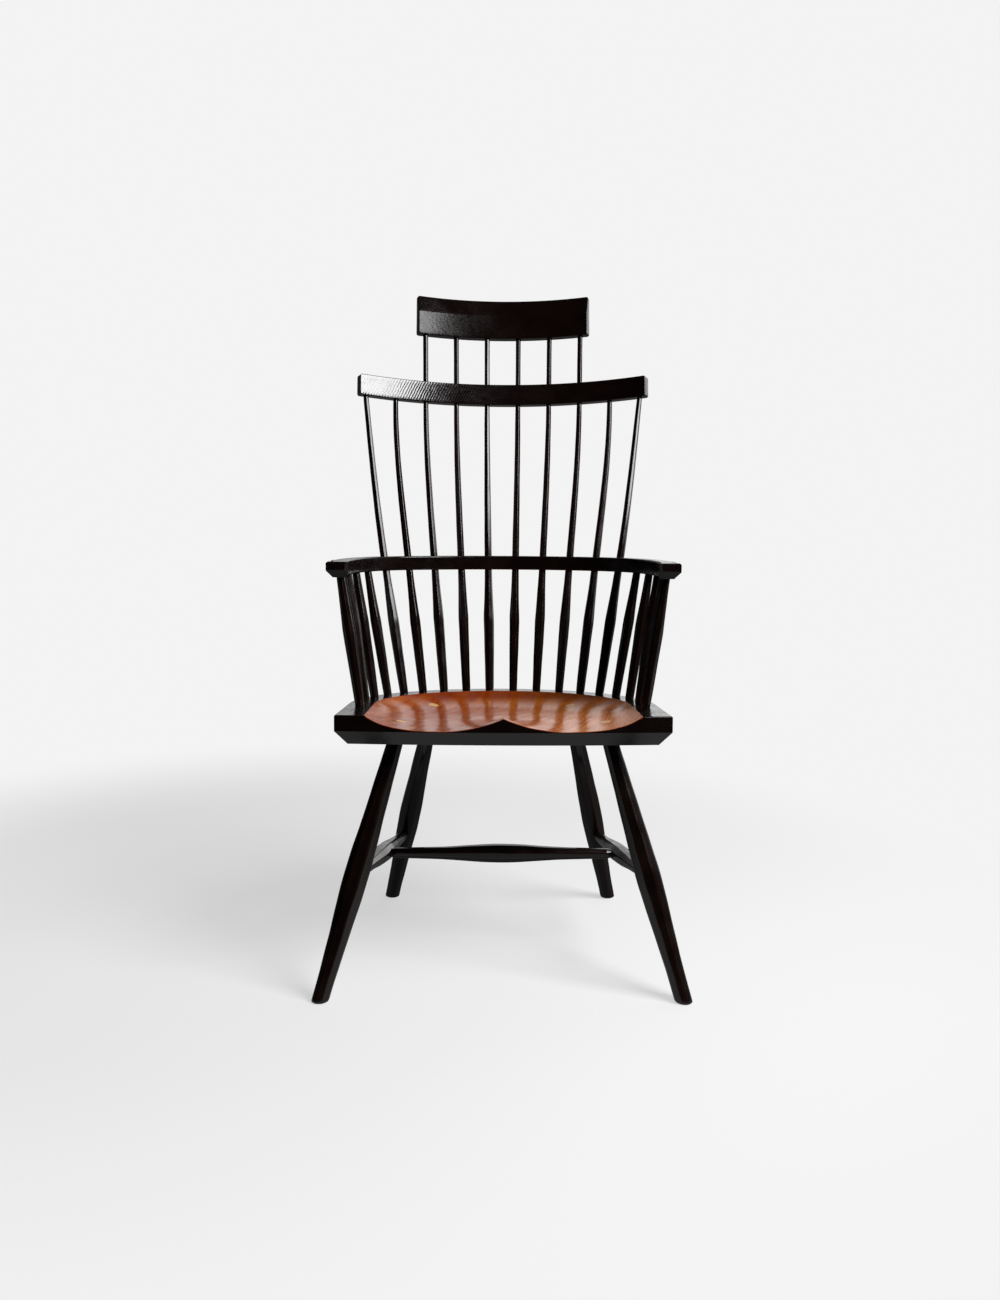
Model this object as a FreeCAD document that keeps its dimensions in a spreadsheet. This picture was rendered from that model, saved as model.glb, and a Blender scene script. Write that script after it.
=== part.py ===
"""A comb-back Windsor armchair with a second, upper comb.

A thick seat, scooped for the sitter, carries everything. Four splayed legs pass through it and
are wedged from above, with an H of stretchers between them. Ten long and ten short spindles
rise from its edge. The short ones and the long ones carry a bent arm rail, the long ones go on
to the lower crest, and the middle six of them pass through it to the upper crest.

The chair faces -Y, +X is to its left hand, and +Z is up. Plan positions are taken from the
middle of the circle on which the spindles stand in the seat. At the end all pieces are moved
together, so that the origin lies on the floor under the middle of the chair's box.
"""
import FreeCAD, Part
import math
import os
import Sketcher
from FreeCAD import Placement, Rotation, Vector

# Every size that can be set by itself: alias, value in millimetres or degrees, and what it is
SIZES = [
    ("seat_front_height", 444.0, "deck above the floor, at the seat's front corners"),
    ("seat_tilt", 3.66, "degrees by which the seat falls towards the back"),
    ("seat_width", 521.0, "seat, between its front corners"),
    ("seat_taper", 7.0, "how much narrower the seat is across the round of its back"),
    ("seat_depth", 423.5, "seat, from the front corners to the back edge"),
    ("seat_front_bow", 13.0, "how far the front edge bows forward"),
    ("seat_thickness", 47.0, "seat blank"),
    ("seat_bevel_height", 22.0, "bevel under the whole edge of the seat, up its side"),
    ("seat_bevel_reach", 18.5, "the same bevel, inwards along the underside"),
    ("seat_arris", 2.6, "softened top edge of the seat"),
    ("deck_margin", 19.0, "seat edge to the circle of spindles"),
    ("scoop_margin", 43.0, "seat edge to the scoop's edge"),
    ("scoop_depth", 24.0, "deck down to the floor of the scoop"),
    ("scoop_edge_power", 6.0, "how late the scoop's floor turns up to its edge"),
    ("pommel_drop", 3.2, "deck down to the top of the pommel, at the front"),
    ("pommel_width", 106.0, "half width of the pommel's foot"),
    ("pommel_length", 165.0, "how far the pommel runs back"),
    ("pommel_power", 2.2, "hollowness of the pommel's flanks"),
    ("scoop_step", 19.0, "spacing of the points that the scoop's floor passes through"),
    ("glue_line", 0.12, "gap all round a piece in its mortise"),
    ("overrun", 12.0, "how far a cutting tool reaches past what it cuts"),
    ("facets", 8.0, "flats round a shaved leg, stretcher or spindle"),
    ("leg_front_inset", 102.9, "front leg's mortise, inwards from the seat's front corner"),
    ("leg_front_y", 85.0, "front leg's mortise, behind the seat's front corners"),
    ("leg_rear_inset", 142.8, "rear leg's mortise, inwards from there"),
    ("leg_rear_y", 139.5, "rear leg's mortise, in front of the seat's back edge"),
    ("leg_front_splay", 15.9, "degrees outwards"),
    ("leg_front_rake", 15.6, "degrees forwards"),
    ("leg_rear_splay", 12.3, "degrees outwards"),
    ("leg_rear_rake", 21.8, "degrees backwards"),
    ("leg_neck", 25.2, "across flats under the seat"),
    ("leg_swell", 38.5, "across flats at the thickest place"),
    ("leg_ankle", 30.8, "across flats half way from the swell to the foot"),
    ("leg_foot", 26.6, "across flats at the floor"),
    ("leg_swell_height", 178.0, "thickest place above the floor"),
    ("leg_tenon_top", 17.6, "diameter of the tapered tenon where it shows in the scoop"),
    ("leg_shoulder", 6.5, "facets stop this far short of the seat"),
    ("wedge_length", 26.0, "wedge in a leg's tenon"),
    ("wedge_thick", 2.6, "its thick end"),
    ("wedge_thin", 0.9, "its thin end"),
    ("wedge_width_inset", 1.2, "tenon's side to the wedge's side"),
    ("stretcher_front_height", 184.0, "side stretcher in the front leg, above the floor"),
    ("stretcher_rear_height", 143.0, "side stretcher in the rear leg, above the floor"),
    ("stretcher_end", 17.0, "across flats at a stretcher's ends"),
    ("stretcher_swell", 31.0, "across flats in its middle"),
    ("stretcher_tenon", 15.0, "diameter of its round tenon"),
    ("stretcher_tenon_past", 3.8, "how far it passes the middle of the piece it enters"),
    ("stretcher_shoulder", 3.8, "facets stop this far short of the piece they enter"),
    ("seat_spacing", 44.0, "spindle to spindle in the seat"),
    ("spindle_mortise", 27.0, "depth of a spindle's hole in the seat"),
    ("spindle_base", 14.4, "across flats at the seat, and diameter of the tenon"),
    ("spindle_swell", 19.2, "across flats at the thickest place"),
    ("spindle_rail", 12.9, "across flats and diameter at the arm rail"),
    ("spindle_top", 9.3, "across flats and diameter at the crests"),
    ("spindle_shoulder", 2.8, "facets stop this far short of what they enter"),
    ("rail_height", 646.3, "underside of the arm rail above the floor, over the spindle circle"),
    ("rail_tilt", 1.3, "degrees by which the rail falls towards the back"),
    ("rail_overhang", 29.0, "seat's back edge to the rail's centre line at the back"),
    ("rail_spread", 16.4, "how much further apart the arms are than the seat is wide"),
    ("rail_widest", 18.0, "where that is, behind the spindle circle's middle"),
    ("rail_rear_radius", 365.0, "bend across the back"),
    ("rail_corner_radius", 165.0, "bend at each corner"),
    ("rail_side_radius", 500.0, "bend of each arm"),
    ("rail_front", 74.0, "spindle circle's middle to the hands' front faces"),
    ("rail_width", 25.0, "arm rail in plan"),
    ("rail_thickness", 25.5, "arm rail, top to bottom"),
    ("rail_arris", 2.4, "softened edges of the rail"),
    ("rail_spacing", 51.4, "spindle to spindle along the rail"),
    ("rail_mortise", 20.0, "depth of a short spindle's hole in the rail"),
    ("hand_proud", 9.5, "how far a hand stands out from the rail's side"),
    ("hand_length", 96.0, "hand, front to back"),
    ("hand_bevel", 12.5, "bevel under the hand's front and side"),
    ("hand_arris", 2.5, "bevel on the hand's upper edges"),
    ("hand_corner", 9.0, "cut-off inner front corner of the arm's end, at its underside"),
    ("back_lean", 11.5, "degrees by which the crests lean back"),
    ("crest_height", 947.0, "lower crest's underside above the floor, in the middle"),
    ("crest_overhang", 93.0, "seat's back edge to the lower crest's underside"),
    ("crest_width", 532.5, "lower crest, end to end"),
    ("crest_depth", 39.0, "lower crest, along the spindles"),
    ("crest_thickness", 17.0, "lower crest, front to back"),
    ("crest_radius", 550.0, "bend of the lower crest"),
    ("crest_spacing", 58.6, "spindle to spindle in the lower crest"),
    ("crest_mortise", 27.0, "depth of an outer spindle's hole in the lower crest"),
    ("crest_arris", 1.6, "softened edges of both crests"),
    ("crest_inner_splay", 0.4, "degrees, second spindle from the end enters the crest"),
    ("crest_outer_splay", 6.2, "degrees, outermost spindle enters the crest"),
    ("comb_rise", 128.5, "lower crest's underside to the upper crest's underside"),
    ("comb_width", 322.0, "upper crest, end to end"),
    ("comb_depth", 75.5, "upper crest, along the spindles"),
    ("comb_thickness", 17.5, "upper crest, below its bevel"),
    ("comb_top_thickness", 9.0, "upper crest at its top edge"),
    ("comb_bevel", 32.0, "bevelled strip along the upper crest's front"),
    ("comb_radius", 455.0, "bend of the upper crest"),
    ("comb_spacing", 59.5, "spindle to spindle in the upper crest"),
    ("comb_mortise", 38.0, "depth of a spindle's hole in the upper crest"),
    ("peg_diameter", 4.0, "pins that hold the upper crest"),
    ("peg_height", 11.0, "pins above the upper crest's lower edge"),
    ("peg_reach", 3.0, "pins' reach past the spindle's middle"),
]

LONG_PER_SIDE = 5
COMB_PER_SIDE = 3
SHORT_PER_SIDE = 5
PEGGED = 2  # the pinned spindle, counted outwards from the middle
SIDES = (("left", 1), ("right", -1))

# A spindle's diameter between the seat and the rail: share of the way, share of the swelling
LOWER_PROFILE_SHARES = [(0.0, 0.0), (0.3, 0.55), (0.6, 1.0), (0.76, 0.5), (0.9, 0.12), (1.0, 0.0)]
UPPER_STATION_SHARES = [0.0, 0.25, 0.5, 0.75, 1.0]
STRETCHER_SHARES = [(0.0, 0.0), (0.22, 0.28), (0.5, 1.0), (0.78, 0.28), (1.0, 0.0)]

doc = FreeCAD.newDocument("windsor_armchair")
sheet = doc.addObject("Spreadsheet::Sheet", "sizes")
for row, (alias, number, meaning) in enumerate(SIZES, start=1):
    sheet.set(f"A{row}", meaning)
    sheet.set(f"B{row}", str(number))
    sheet.setAlias(f"B{row}", alias)
doc.recompute()


def size(alias):
    """The number in the sheet's cell of that name."""
    return float(sheet.get(alias))


def evaluate(expression):
    """The number that an expression on the sheet gives."""
    return float(sheet.evalExpression(expression))


def tidy_name(words):
    """A document name for an object."""
    return words.replace(" ", "_")


def add(kind, name, placement=None, **expressions):
    """A document object whose properties are bound to expressions on the sheet."""
    made = doc.addObject(kind, tidy_name(name))
    for prop, expression in expressions.items():
        made.setExpression(prop, expression)
    if placement is not None:
        made.Placement = placement
    return made


def turned(direction, roll=0.0):
    """The rotation that lays local Z along a direction, after a roll in degrees about itself."""
    return Rotation(Vector(0, 0, 1), direction) * Rotation(Vector(0, 0, 1), roll)


def cylinder(name, start, direction, diameter, length):
    """A cylinder from start along direction. Diameter and length are expressions."""
    return add("Part::Cylinder", name, Placement(start, turned(direction)),
               Radius=f"({diameter}) / 2", Height=length)


def shaved(name, stations):
    """A faceted stick through stations of (point, direction, across flats as an expression)."""
    half_facet = 180 / size("facets")
    rings = []
    for index, (point, direction, across) in enumerate(stations):
        place = Placement(point, turned(direction, half_facet))
        rings.append(add("Part::RegularPolygon", f"{name} ring {index}", place,
                         Polygon="sizes.facets",
                         Circumradius=f"({across}) / 2 / cos(180 deg / sizes.facets)"))
    stick = doc.addObject("Part::Loft", tidy_name(name))
    stick.Sections = rings
    stick.Solid = True
    stick.Ruled = False
    return stick


def fused(name, parts):
    """One solid from several that run into each other."""
    made = doc.addObject("Part::MultiFuse", tidy_name(name))
    made.Shapes = parts
    made.Refine = True
    return made


def cut(name, base, tools):
    """The base without its tools."""
    group = doc.addObject("Part::Compound", tidy_name(name + " tools"))
    group.Links = tools
    made = doc.addObject("Part::Cut", tidy_name(name))
    made.Base = base
    made.Tool = group
    return made


def origin_plane(body, role):
    """One of a body's own origin planes or axes."""
    return next(f for f in body.Origin.OriginFeatures if f.Role == role)


def sketch_in(body, name, role):
    """An empty sketch on one of the body's origin planes."""
    sketch = body.newObject("Sketcher::SketchObject", tidy_name(name))
    sketch.AttachmentSupport = [(origin_plane(body, role), "")]
    sketch.MapMode = "FlatFace"
    return sketch


def bind(sketch, name, constraint, expression):
    """Adds a constraint with a name, and ties its value to an expression."""
    index = sketch.addConstraint(constraint)
    sketch.renameConstraint(index, name)
    sketch.setExpression(f"Constraints.{name}", expression)


def soften(body, base, name, radius, picked):
    """A fillet on the base feature's edges that a test picks."""
    edges = [f"Edge{i}" for i, edge in enumerate(base.Shape.Edges, start=1) if picked(edge)]
    fillet = body.newObject("PartDesign::Fillet", tidy_name(name))
    fillet.Base = (base, edges)
    fillet.setExpression("Radius", radius)
    return fillet


def at_height(edge, height):
    """Whether the whole edge lies at one local height."""
    slack = size("glue_line")
    return all(abs(vertex.Z - height) < slack for vertex in edge.Vertexes)


def unit(vector):
    """The vector at length one."""
    return vector / vector.Length


def mirrored(point, hand):
    """The point on the chair's left, or its like on the right."""
    return Vector(hand * point.x, point.y, point.z)


# The frames that the pieces are laid out in
seat_radius = (size("seat_width") - size("seat_taper")) / 2
seat_front = size("seat_depth") - seat_radius
tilt = math.radians(size("seat_tilt"))
deck_height = size("seat_front_height") - seat_front * math.sin(tilt)
x_axis = Vector(1, 0, 0)
seat_frame = Placement(Vector(0, 0, deck_height), Rotation(x_axis, -size("seat_tilt")))
rail_frame = Placement(Vector(0, 0, size("rail_height")), Rotation(x_axis, -size("rail_tilt")))
lean = Rotation(x_axis, -size("back_lean"))
crest_frame = Placement(Vector(0, seat_radius + size("crest_overhang"), size("crest_height")),
                        lean)
comb_frame = crest_frame * Placement(Vector(0, 0, size("comb_rise")), Rotation())

tools = {}  # what is cut from each piece, by the piece's name
nodes = {}  # finished pieces, by name


def tool_for(host, tool):
    """Notes a cutting tool for a piece."""
    tools.setdefault(host, []).append(tool)


# Seat


def seat_blank():
    """The seat's outline, padded down from the deck, bevelled underneath, softened on top."""
    body = doc.addObject("PartDesign::Body", "seat_blank")
    sketch = sketch_in(body, "seat outline", "XY_Plane")
    half = size("seat_width") / 2
    bow = size("seat_front_bow")
    front_radius = half ** 2 / (2 * bow) + bow / 2
    front_centre = Vector(0, -seat_front - bow + front_radius, 0)
    corner = Vector(half, -seat_front, 0)
    reach = math.atan2(half, seat_front + front_centre.y)
    touch = math.acos(seat_radius / corner.Length) - math.atan2(seat_front, half)
    rear_corner = Vector(seat_radius * math.cos(touch), seat_radius * math.sin(touch), 0)
    up = Vector(0, 0, 1)
    sketch.addGeometry([
        Part.ArcOfCircle(Part.Circle(Vector(0, 0, 0), up, seat_radius), touch, math.pi - touch),
        Part.LineSegment(rear_corner, corner),
        Part.ArcOfCircle(Part.Circle(front_centre, up, front_radius),
                         -math.pi / 2 - reach, -math.pi / 2 + reach),
        Part.LineSegment(mirrored(corner, -1), mirrored(rear_corner, -1)),
    ], False)
    sketch.addConstraint([
        Sketcher.Constraint("Coincident", 0, 3, -1, 1),
        Sketcher.Constraint("Tangent", 0, 1, 1, 1),
        Sketcher.Constraint("Coincident", 1, 2, 2, 2),
        Sketcher.Constraint("Coincident", 2, 1, 3, 1),
        Sketcher.Constraint("Tangent", 3, 2, 0, 2),
        Sketcher.Constraint("Symmetric", 1, 2, 3, 1, -2),
    ])
    bind(sketch, "rear_radius", Sketcher.Constraint("Radius", 0, seat_radius),
         "(sizes.seat_width - sizes.seat_taper) / 2")
    bind(sketch, "corner_across", Sketcher.Constraint("DistanceX", -1, 1, 1, 2, half),
         "sizes.seat_width / 2")
    bind(sketch, "corner_forward", Sketcher.Constraint("DistanceY", 1, 2, -1, 1, seat_front),
         "sizes.seat_depth - (sizes.seat_width - sizes.seat_taper) / 2")
    bind(sketch, "front_radius", Sketcher.Constraint("Radius", 2, front_radius),
         "(sizes.seat_width / 2) ^ 2 / (2 * sizes.seat_front_bow) + sizes.seat_front_bow / 2")
    pad = body.newObject("PartDesign::Pad", "seat_board")
    pad.Profile = sketch
    pad.Reversed = True
    pad.setExpression("Length", "sizes.seat_thickness")
    doc.recompute()
    underside = -size("seat_thickness")
    bevel = body.newObject("PartDesign::Chamfer", "seat_underside_bevel")
    bevel.Base = (pad, [f"Edge{i}" for i, edge in enumerate(pad.Shape.Edges, start=1)
                        if at_height(edge, underside)])
    bevel.ChamferType = "Two distances"
    bevel.setExpression("Size", "sizes.seat_bevel_height")
    bevel.setExpression("Size2", "sizes.seat_bevel_reach")
    doc.recompute()
    soften(body, bevel, "seat arris", "sizes.seat_arris", lambda edge: at_height(edge, 0))
    body.Placement = seat_frame
    return body


def scoop_floor(x, y):
    """Height of the scoop's floor over the deck, at a place in the seat's own plan."""
    reach = seat_radius - size("scoop_margin")
    share = math.hypot(x, max(y, 0)) / reach
    power = size("scoop_edge_power")
    hollow = 1 - share ** power if share < 1 else power * (1 - share)
    depth = size("scoop_depth") * hollow
    along = 1 - (y + seat_front + size("seat_front_bow")) / size("pommel_length")
    along = min(max(along, 0), 1)
    fade = along * along * (3 - 2 * along)
    across = max(1 - abs(x) / size("pommel_width"), 0) ** size("pommel_power")
    ridge = (size("scoop_depth") - size("pommel_drop")) * across * fade
    return ridge - depth


def scoop_tool(name, hand):
    """Half of the scoop: a smooth floor through a net of points, and all that is above it."""
    far = seat_radius - size("scoop_margin") + size("overrun")
    near = -seat_front - size("seat_front_bow") - size("overrun")
    columns = round(far / size("scoop_step"))
    rows = round((far - near) / size("scoop_step"))
    net = []
    for column in range(columns + 1):
        x = far * column / columns
        line = []
        for row in range(rows + 1):
            y = near + (far - near) * row / rows
            line.append(Vector(hand * x, y, scoop_floor(x, y)))
        net.append(line)
    floor = Part.BSplineSurface()
    floor.interpolate(net)
    above = Vector(0, 0, size("scoop_depth") + 2 * size("overrun"))
    tool = doc.addObject("Part::Feature", tidy_name(name))
    tool.Shape = floor.toShape().extrude(above)
    tool.Placement = seat_frame
    return tool


seat_board = seat_blank()
scoops = {side: scoop_tool(f"scoop {side}", hand) for side, hand in SIDES}
tools["seat"] = list(scoops.values())

# Legs, their wedges, and the stretchers between them


def leg_axis(x, y, splay, rake):
    """A leg's place in the deck and its direction, upwards."""
    top = seat_frame.multVec(Vector(x, y, 0))
    down = Vector(math.tan(math.radians(splay)), math.tan(math.radians(rake)), -1)
    return top, unit(-down)


def at_level(axis, height):
    """The point of an axis at a height above the floor."""
    top, direction = axis
    return top + direction * ((height - top.z) / direction.z)


floor_tool = add("Part::Box", "floor tool", Length="2 * sizes.seat_width",
                 Width="2 * sizes.seat_width + 2 * sizes.seat_depth",
                 Height="sizes.leg_swell_height / 2")
floor_tool.Placement = Placement(
    Vector(-size("seat_width"), -size("seat_width"), -size("leg_swell_height") / 2), Rotation())

leg_axes = {}
sticks = {}


def leg(end, side, hand, x, y, splay, rake):
    """A shaved leg with a tapered tenon, sawn off level with the floor."""
    name = f"leg_{end}_{side}"
    axis = leg_axis(hand * x, y, hand * splay, rake)
    leg_axes[name] = axis
    top, up = axis
    deck_normal = seat_frame.Rotation.multVec(Vector(0, 0, 1))
    slant = up.dot(deck_normal)
    shoulder = top - up * (size("seat_thickness") / slant + size("leg_shoulder"))
    foot = at_level(axis, 0)
    below = foot - up * size("overrun")
    swell = at_level(axis, size("leg_swell_height"))
    ankle = (foot + swell) / 2
    thigh = (swell + shoulder) / 2
    stick = shaved(f"{name} facets", [
        (below, up, "sizes.leg_foot"),
        (foot + up * size("leg_foot"), up, "sizes.leg_foot"),
        (ankle, up, "sizes.leg_ankle"),
        (swell, up, "sizes.leg_swell"),
        (thigh, up, "sizes.leg_neck + (sizes.leg_swell - sizes.leg_neck) / 2"),
        (shoulder, up, "sizes.leg_neck"),
    ])
    tenon_length = (top - shoulder).Length
    tenon = add("Part::Cone", f"{name} tenon", Placement(shoulder, turned(up)),
                Radius1="sizes.leg_neck / 2", Radius2="sizes.leg_tenon_top / 2")
    tenon.Height = tenon_length
    mortise = add("Part::Cone", f"{name} mortise", Placement(shoulder, turned(up)),
                  Radius1="sizes.leg_neck / 2 + sizes.glue_line",
                  Radius2="sizes.leg_tenon_top / 2 + sizes.glue_line")
    mortise.Height = tenon_length
    tool_for("seat", mortise)
    sticks[name] = fused(f"{name} stick", [stick, tenon])
    tools[name] = [floor_tool, scoops[side]]
    wedge(name, f"{end}_{side}", side, top, up)


def wedge_solid(name, place, swell):
    """A wedge, thin end down, made thicker all round by a length given as an expression."""
    made = add("Part::Wedge", name, place)
    width = f"(sizes.leg_tenon_top / 2 - sizes.wedge_width_inset + {swell})"
    thin = f"(sizes.wedge_thin / 2 + {swell})"
    thick = f"(sizes.wedge_thick / 2 + {swell})"
    for prop, expression in (("Xmin", f"-{width}"), ("Xmax", width), ("X2min", f"-{width}"),
                             ("X2max", width), ("Zmin", f"-{thin}"), ("Zmax", thin),
                             ("Z2min", f"-{thick}"), ("Z2max", thick),
                             ("Ymin", f"0 - {swell}"), ("Ymax", "sizes.wedge_length")):
        made.setExpression(prop, expression)
    return made


def wedge(leg_name, place, side, top, up):
    """The wedge that spreads a leg's tenon, across the grain of the seat."""
    low = top - up * (size("scoop_depth") + size("wedge_length") / 2)
    sideways = unit(Vector(0, 1, 0).cross(up))
    across = unit(up.cross(sideways))
    turn = Rotation(across, up, across.cross(up), "YXZ")
    name = f"wedge_{place}"
    spot = Placement(low, turn)
    raw = wedge_solid(f"{name} blank", spot, "0")
    slot = wedge_solid(f"{name} slot", spot, "sizes.glue_line")
    tool_for(leg_name, slot)
    nodes[name] = cut(name, raw, [scoops[side]])


for side, hand in SIDES:
    leg("front", side, hand, size("seat_width") / 2 - size("leg_front_inset"),
        size("leg_front_y") - seat_front, size("leg_front_splay"), -size("leg_front_rake"))
    leg("rear", side, hand, size("seat_width") / 2 - size("leg_rear_inset"),
        seat_radius - size("leg_rear_y"), size("leg_rear_splay"), size("leg_rear_rake"))


def stretcher(name, first, last, first_half, last_half, hosts):
    """A shaved stretcher between two axes' points, tenoned into what it meets at each end.

    The halves are expressions for the distance from each axis to the other piece's skin."""
    along = unit(last - first)
    start = first + along * evaluate(f"{first_half} + sizes.stretcher_shoulder")
    end = last - along * evaluate(f"{last_half} + sizes.stretcher_shoulder")
    body = shaved(f"{name} facets", [
        (start + (end - start) * share, along,
         f"sizes.stretcher_end + {swelling} * (sizes.stretcher_swell - sizes.stretcher_end)")
        for share, swelling in STRETCHER_SHARES])
    solids = [body]
    past = size("stretcher_tenon_past")
    for index, (point, away, host, half) in enumerate((
            (first, along, hosts[0], first_half), (last, -along, hosts[1], last_half))):
        length = f"{half} + sizes.stretcher_shoulder + sizes.stretcher_tenon_past"
        tip = point - away * past
        solids.append(cylinder(f"{name} tenon {index}", tip, away, "sizes.stretcher_tenon",
                               length))
        tool_for(host, cylinder(f"{name} mortise {index}", tip - away * size("glue_line"), away,
                                "sizes.stretcher_tenon + 2 * sizes.glue_line",
                                length + " + sizes.glue_line"))
    sticks[name] = fused(f"{name} stick", solids)
    tools.setdefault(name, [])


middles = {}
for side, hand in SIDES:
    front = at_level(leg_axes[f"leg_front_{side}"], size("stretcher_front_height"))
    rear = at_level(leg_axes[f"leg_rear_{side}"], size("stretcher_rear_height"))
    stretcher(f"stretcher_{side}", front, rear, "sizes.leg_swell / 2", "sizes.leg_swell / 2",
              (f"leg_front_{side}", f"leg_rear_{side}"))
    middles[side] = (front + rear) / 2
stretcher("stretcher_middle", middles["left"], middles["right"], "sizes.stretcher_swell / 2",
          "sizes.stretcher_swell / 2", ("stretcher_left", "stretcher_right"))

# Arm rail and hands

rail_span = size("seat_width") + size("rail_spread")


def rail_bends(offset):
    """The bends of the rail's left half, at an offset outwards from its centre line.

    Each is the middle of an arc, its radius and the angle where it ends: arm, corner, back."""
    side_radius = size("rail_side_radius")
    corner_radius = size("rail_corner_radius")
    rear_radius = size("rail_rear_radius")
    side = Vector(rail_span / 2 - side_radius, size("rail_widest"), 0)
    rear = Vector(0, seat_radius + size("rail_overhang") - rear_radius, 0)
    to_side = side_radius - corner_radius
    to_rear = rear_radius - corner_radius
    apart = rear - side
    along = (to_side ** 2 - to_rear ** 2 + apart.Length ** 2) / (2 * apart.Length)
    across = math.sqrt(to_side ** 2 - along ** 2)
    sideways = unit(Vector(-apart.y, apart.x, 0))
    corner = side + unit(apart) * along + sideways * across
    first = math.atan2(corner.y - side.y, corner.x - side.x)
    second = math.atan2(corner.y - rear.y, corner.x - rear.x)
    return ((side, side_radius + offset, first), (corner, corner_radius + offset, second),
            (rear, rear_radius + offset, math.pi / 2))


def on_arc(middle, radius, angle):
    """The point of an arc at an angle."""
    return middle + Vector(radius * math.cos(angle), radius * math.sin(angle), 0)


def rail_point(distance):
    """A place on the rail's centre line, by its distance along it from the middle."""
    side, corner, rear = rail_bends(0)
    angle = math.pi / 2
    for middle, radius, end in ((rear[0], rear[1], corner[2]), (corner[0], corner[1], side[2])):
        length = radius * (angle - end)
        if distance < length:
            return on_arc(middle, radius, angle - distance / radius)
        distance -= length
        angle = end
    return on_arc(side[0], side[1], angle - distance / side[1])


def arm_side(offset, y):
    """How far from the middle line the arm's side lies at a place, at an offset outwards."""
    side, radius, _ = rail_bends(offset)[0]
    return side.x + math.sqrt(radius ** 2 - (y - side.y) ** 2)


def add_chain(sketch, label, offset, words, stops):
    """Draws one side of the rail from arm to arm, as arcs that run into each other.

    The offset is given as a number and in words. The stops are the places along each arm
    where an arc begins: y, and the same in words, or None where something else sets it."""
    side, corner, rear = rail_bends(offset)
    starts = [math.asin((y - side[0].y) / side[1]) for y, _ in stops]
    half = [(side[0], side[1], start, end)
            for start, end in zip(starts, starts[1:] + [side[2]])]
    half.append((corner[0], corner[1], side[2], corner[2]))
    whole = half + [(rear[0], rear[1], corner[2], math.pi - corner[2])]
    whole += [(mirrored(middle, -1), radius, math.pi - end, math.pi - start)
              for middle, radius, start, end in reversed(half)]
    first = sketch.GeometryCount
    for middle, radius, start, end in whole:
        circle = Part.Circle(middle, Vector(0, 0, 1), radius)
        sketch.addGeometry(Part.ArcOfCircle(circle, start, end), False)
    last = first + len(whole) - 1
    arms = len(stops)
    left_corner, back, right_corner = first + arms, first + arms + 1, first + arms + 2
    for index in range(first, last):
        same_arm = index + 1 < left_corner or index > right_corner
        kind = "Coincident" if same_arm else "Tangent"
        sketch.addConstraint(Sketcher.Constraint(kind, index, 2, index + 1, 1))
        if same_arm:
            sketch.addConstraint(Sketcher.Constraint("Coincident", index, 3, index + 1, 3))
    sketch.addConstraint([
        Sketcher.Constraint("Equal", left_corner, right_corner),
        Sketcher.Constraint("Equal", left_corner - 1, right_corner + 1),
        Sketcher.Constraint("Symmetric", left_corner - 1, 3, right_corner + 1, 3, -2),
        Sketcher.Constraint("PointOnObject", back, 3, -2)])
    bind(sketch, f"{label}_arm_radius", Sketcher.Constraint("Radius", left_corner - 1, side[1]),
         f"sizes.rail_side_radius {words}")
    bind(sketch, f"{label}_arm_across",
         Sketcher.Constraint("DistanceX", -1, 1, left_corner - 1, 3, side[0].x),
         "(sizes.seat_width + sizes.rail_spread) / 2 - sizes.rail_side_radius")
    bind(sketch, f"{label}_arm_back",
         Sketcher.Constraint("DistanceY", -1, 1, left_corner - 1, 3, side[0].y),
         "sizes.rail_widest")
    bind(sketch, f"{label}_corner_radius", Sketcher.Constraint("Radius", left_corner, corner[1]),
         f"sizes.rail_corner_radius {words}")
    bind(sketch, f"{label}_back_radius", Sketcher.Constraint("Radius", back, rear[1]),
         f"sizes.rail_rear_radius {words}")
    bind(sketch, f"{label}_back_middle",
         Sketcher.Constraint("DistanceY", -1, 1, back, 3, rear[0].y),
         "(sizes.seat_width - sizes.seat_taper) / 2 + sizes.rail_overhang"
         " - sizes.rail_rear_radius")
    for order, (y, y_words) in enumerate(stops):
        if y_words is not None:
            bind(sketch, f"{label}_stop{order}",
                 Sketcher.Constraint("DistanceY", -1, 1, first + order, 1, y), y_words)
            sketch.addConstraint(
                Sketcher.Constraint("Horizontal", first + order, 1, last - order, 2))
    return first, last


def rail_blank():
    """The bent rail, padded to its thickness, with its edges softened behind the hands."""
    body = doc.addObject("PartDesign::Body", "rail_blank")
    sketch = sketch_in(body, "rail outline", "XY_Plane")
    front = -size("rail_front")
    hand_end = size("hand_length") - size("rail_front")
    half = size("rail_width") / 2
    outer = add_chain(sketch, "outer", half, "+ sizes.rail_width / 2", [
        (front, "-sizes.rail_front"), (hand_end, "sizes.hand_length - sizes.rail_front")])
    inner = add_chain(sketch, "inner", -half, "- sizes.rail_width / 2", [(front, None)])
    for end, (outer_arc, inner_arc) in ((1, (outer[0], inner[0])), (2, (outer[1], inner[1]))):
        points = [sketch.getPoint(outer_arc, end), sketch.getPoint(inner_arc, end)]
        line = sketch.addGeometry(Part.LineSegment(*points), False)
        sketch.addConstraint([
            Sketcher.Constraint("Coincident", line, 1, outer_arc, end),
            Sketcher.Constraint("Coincident", line, 2, inner_arc, end),
            Sketcher.Constraint("Horizontal", line)])
    pad = body.newObject("PartDesign::Pad", "rail_bar")
    pad.Profile = sketch
    pad.setExpression("Length", "sizes.rail_thickness")
    doc.recompute()

    def behind_hand(edge):
        """Whether an edge is a long one that no hand covers."""
        level = at_height(edge, 0) or at_height(edge, size("rail_thickness"))
        return level and max(vertex.Y for vertex in edge.Vertexes) > hand_end + half

    soften(body, pad, "rail arris", "sizes.rail_arris", behind_hand)
    body.Placement = rail_frame
    return body


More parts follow.
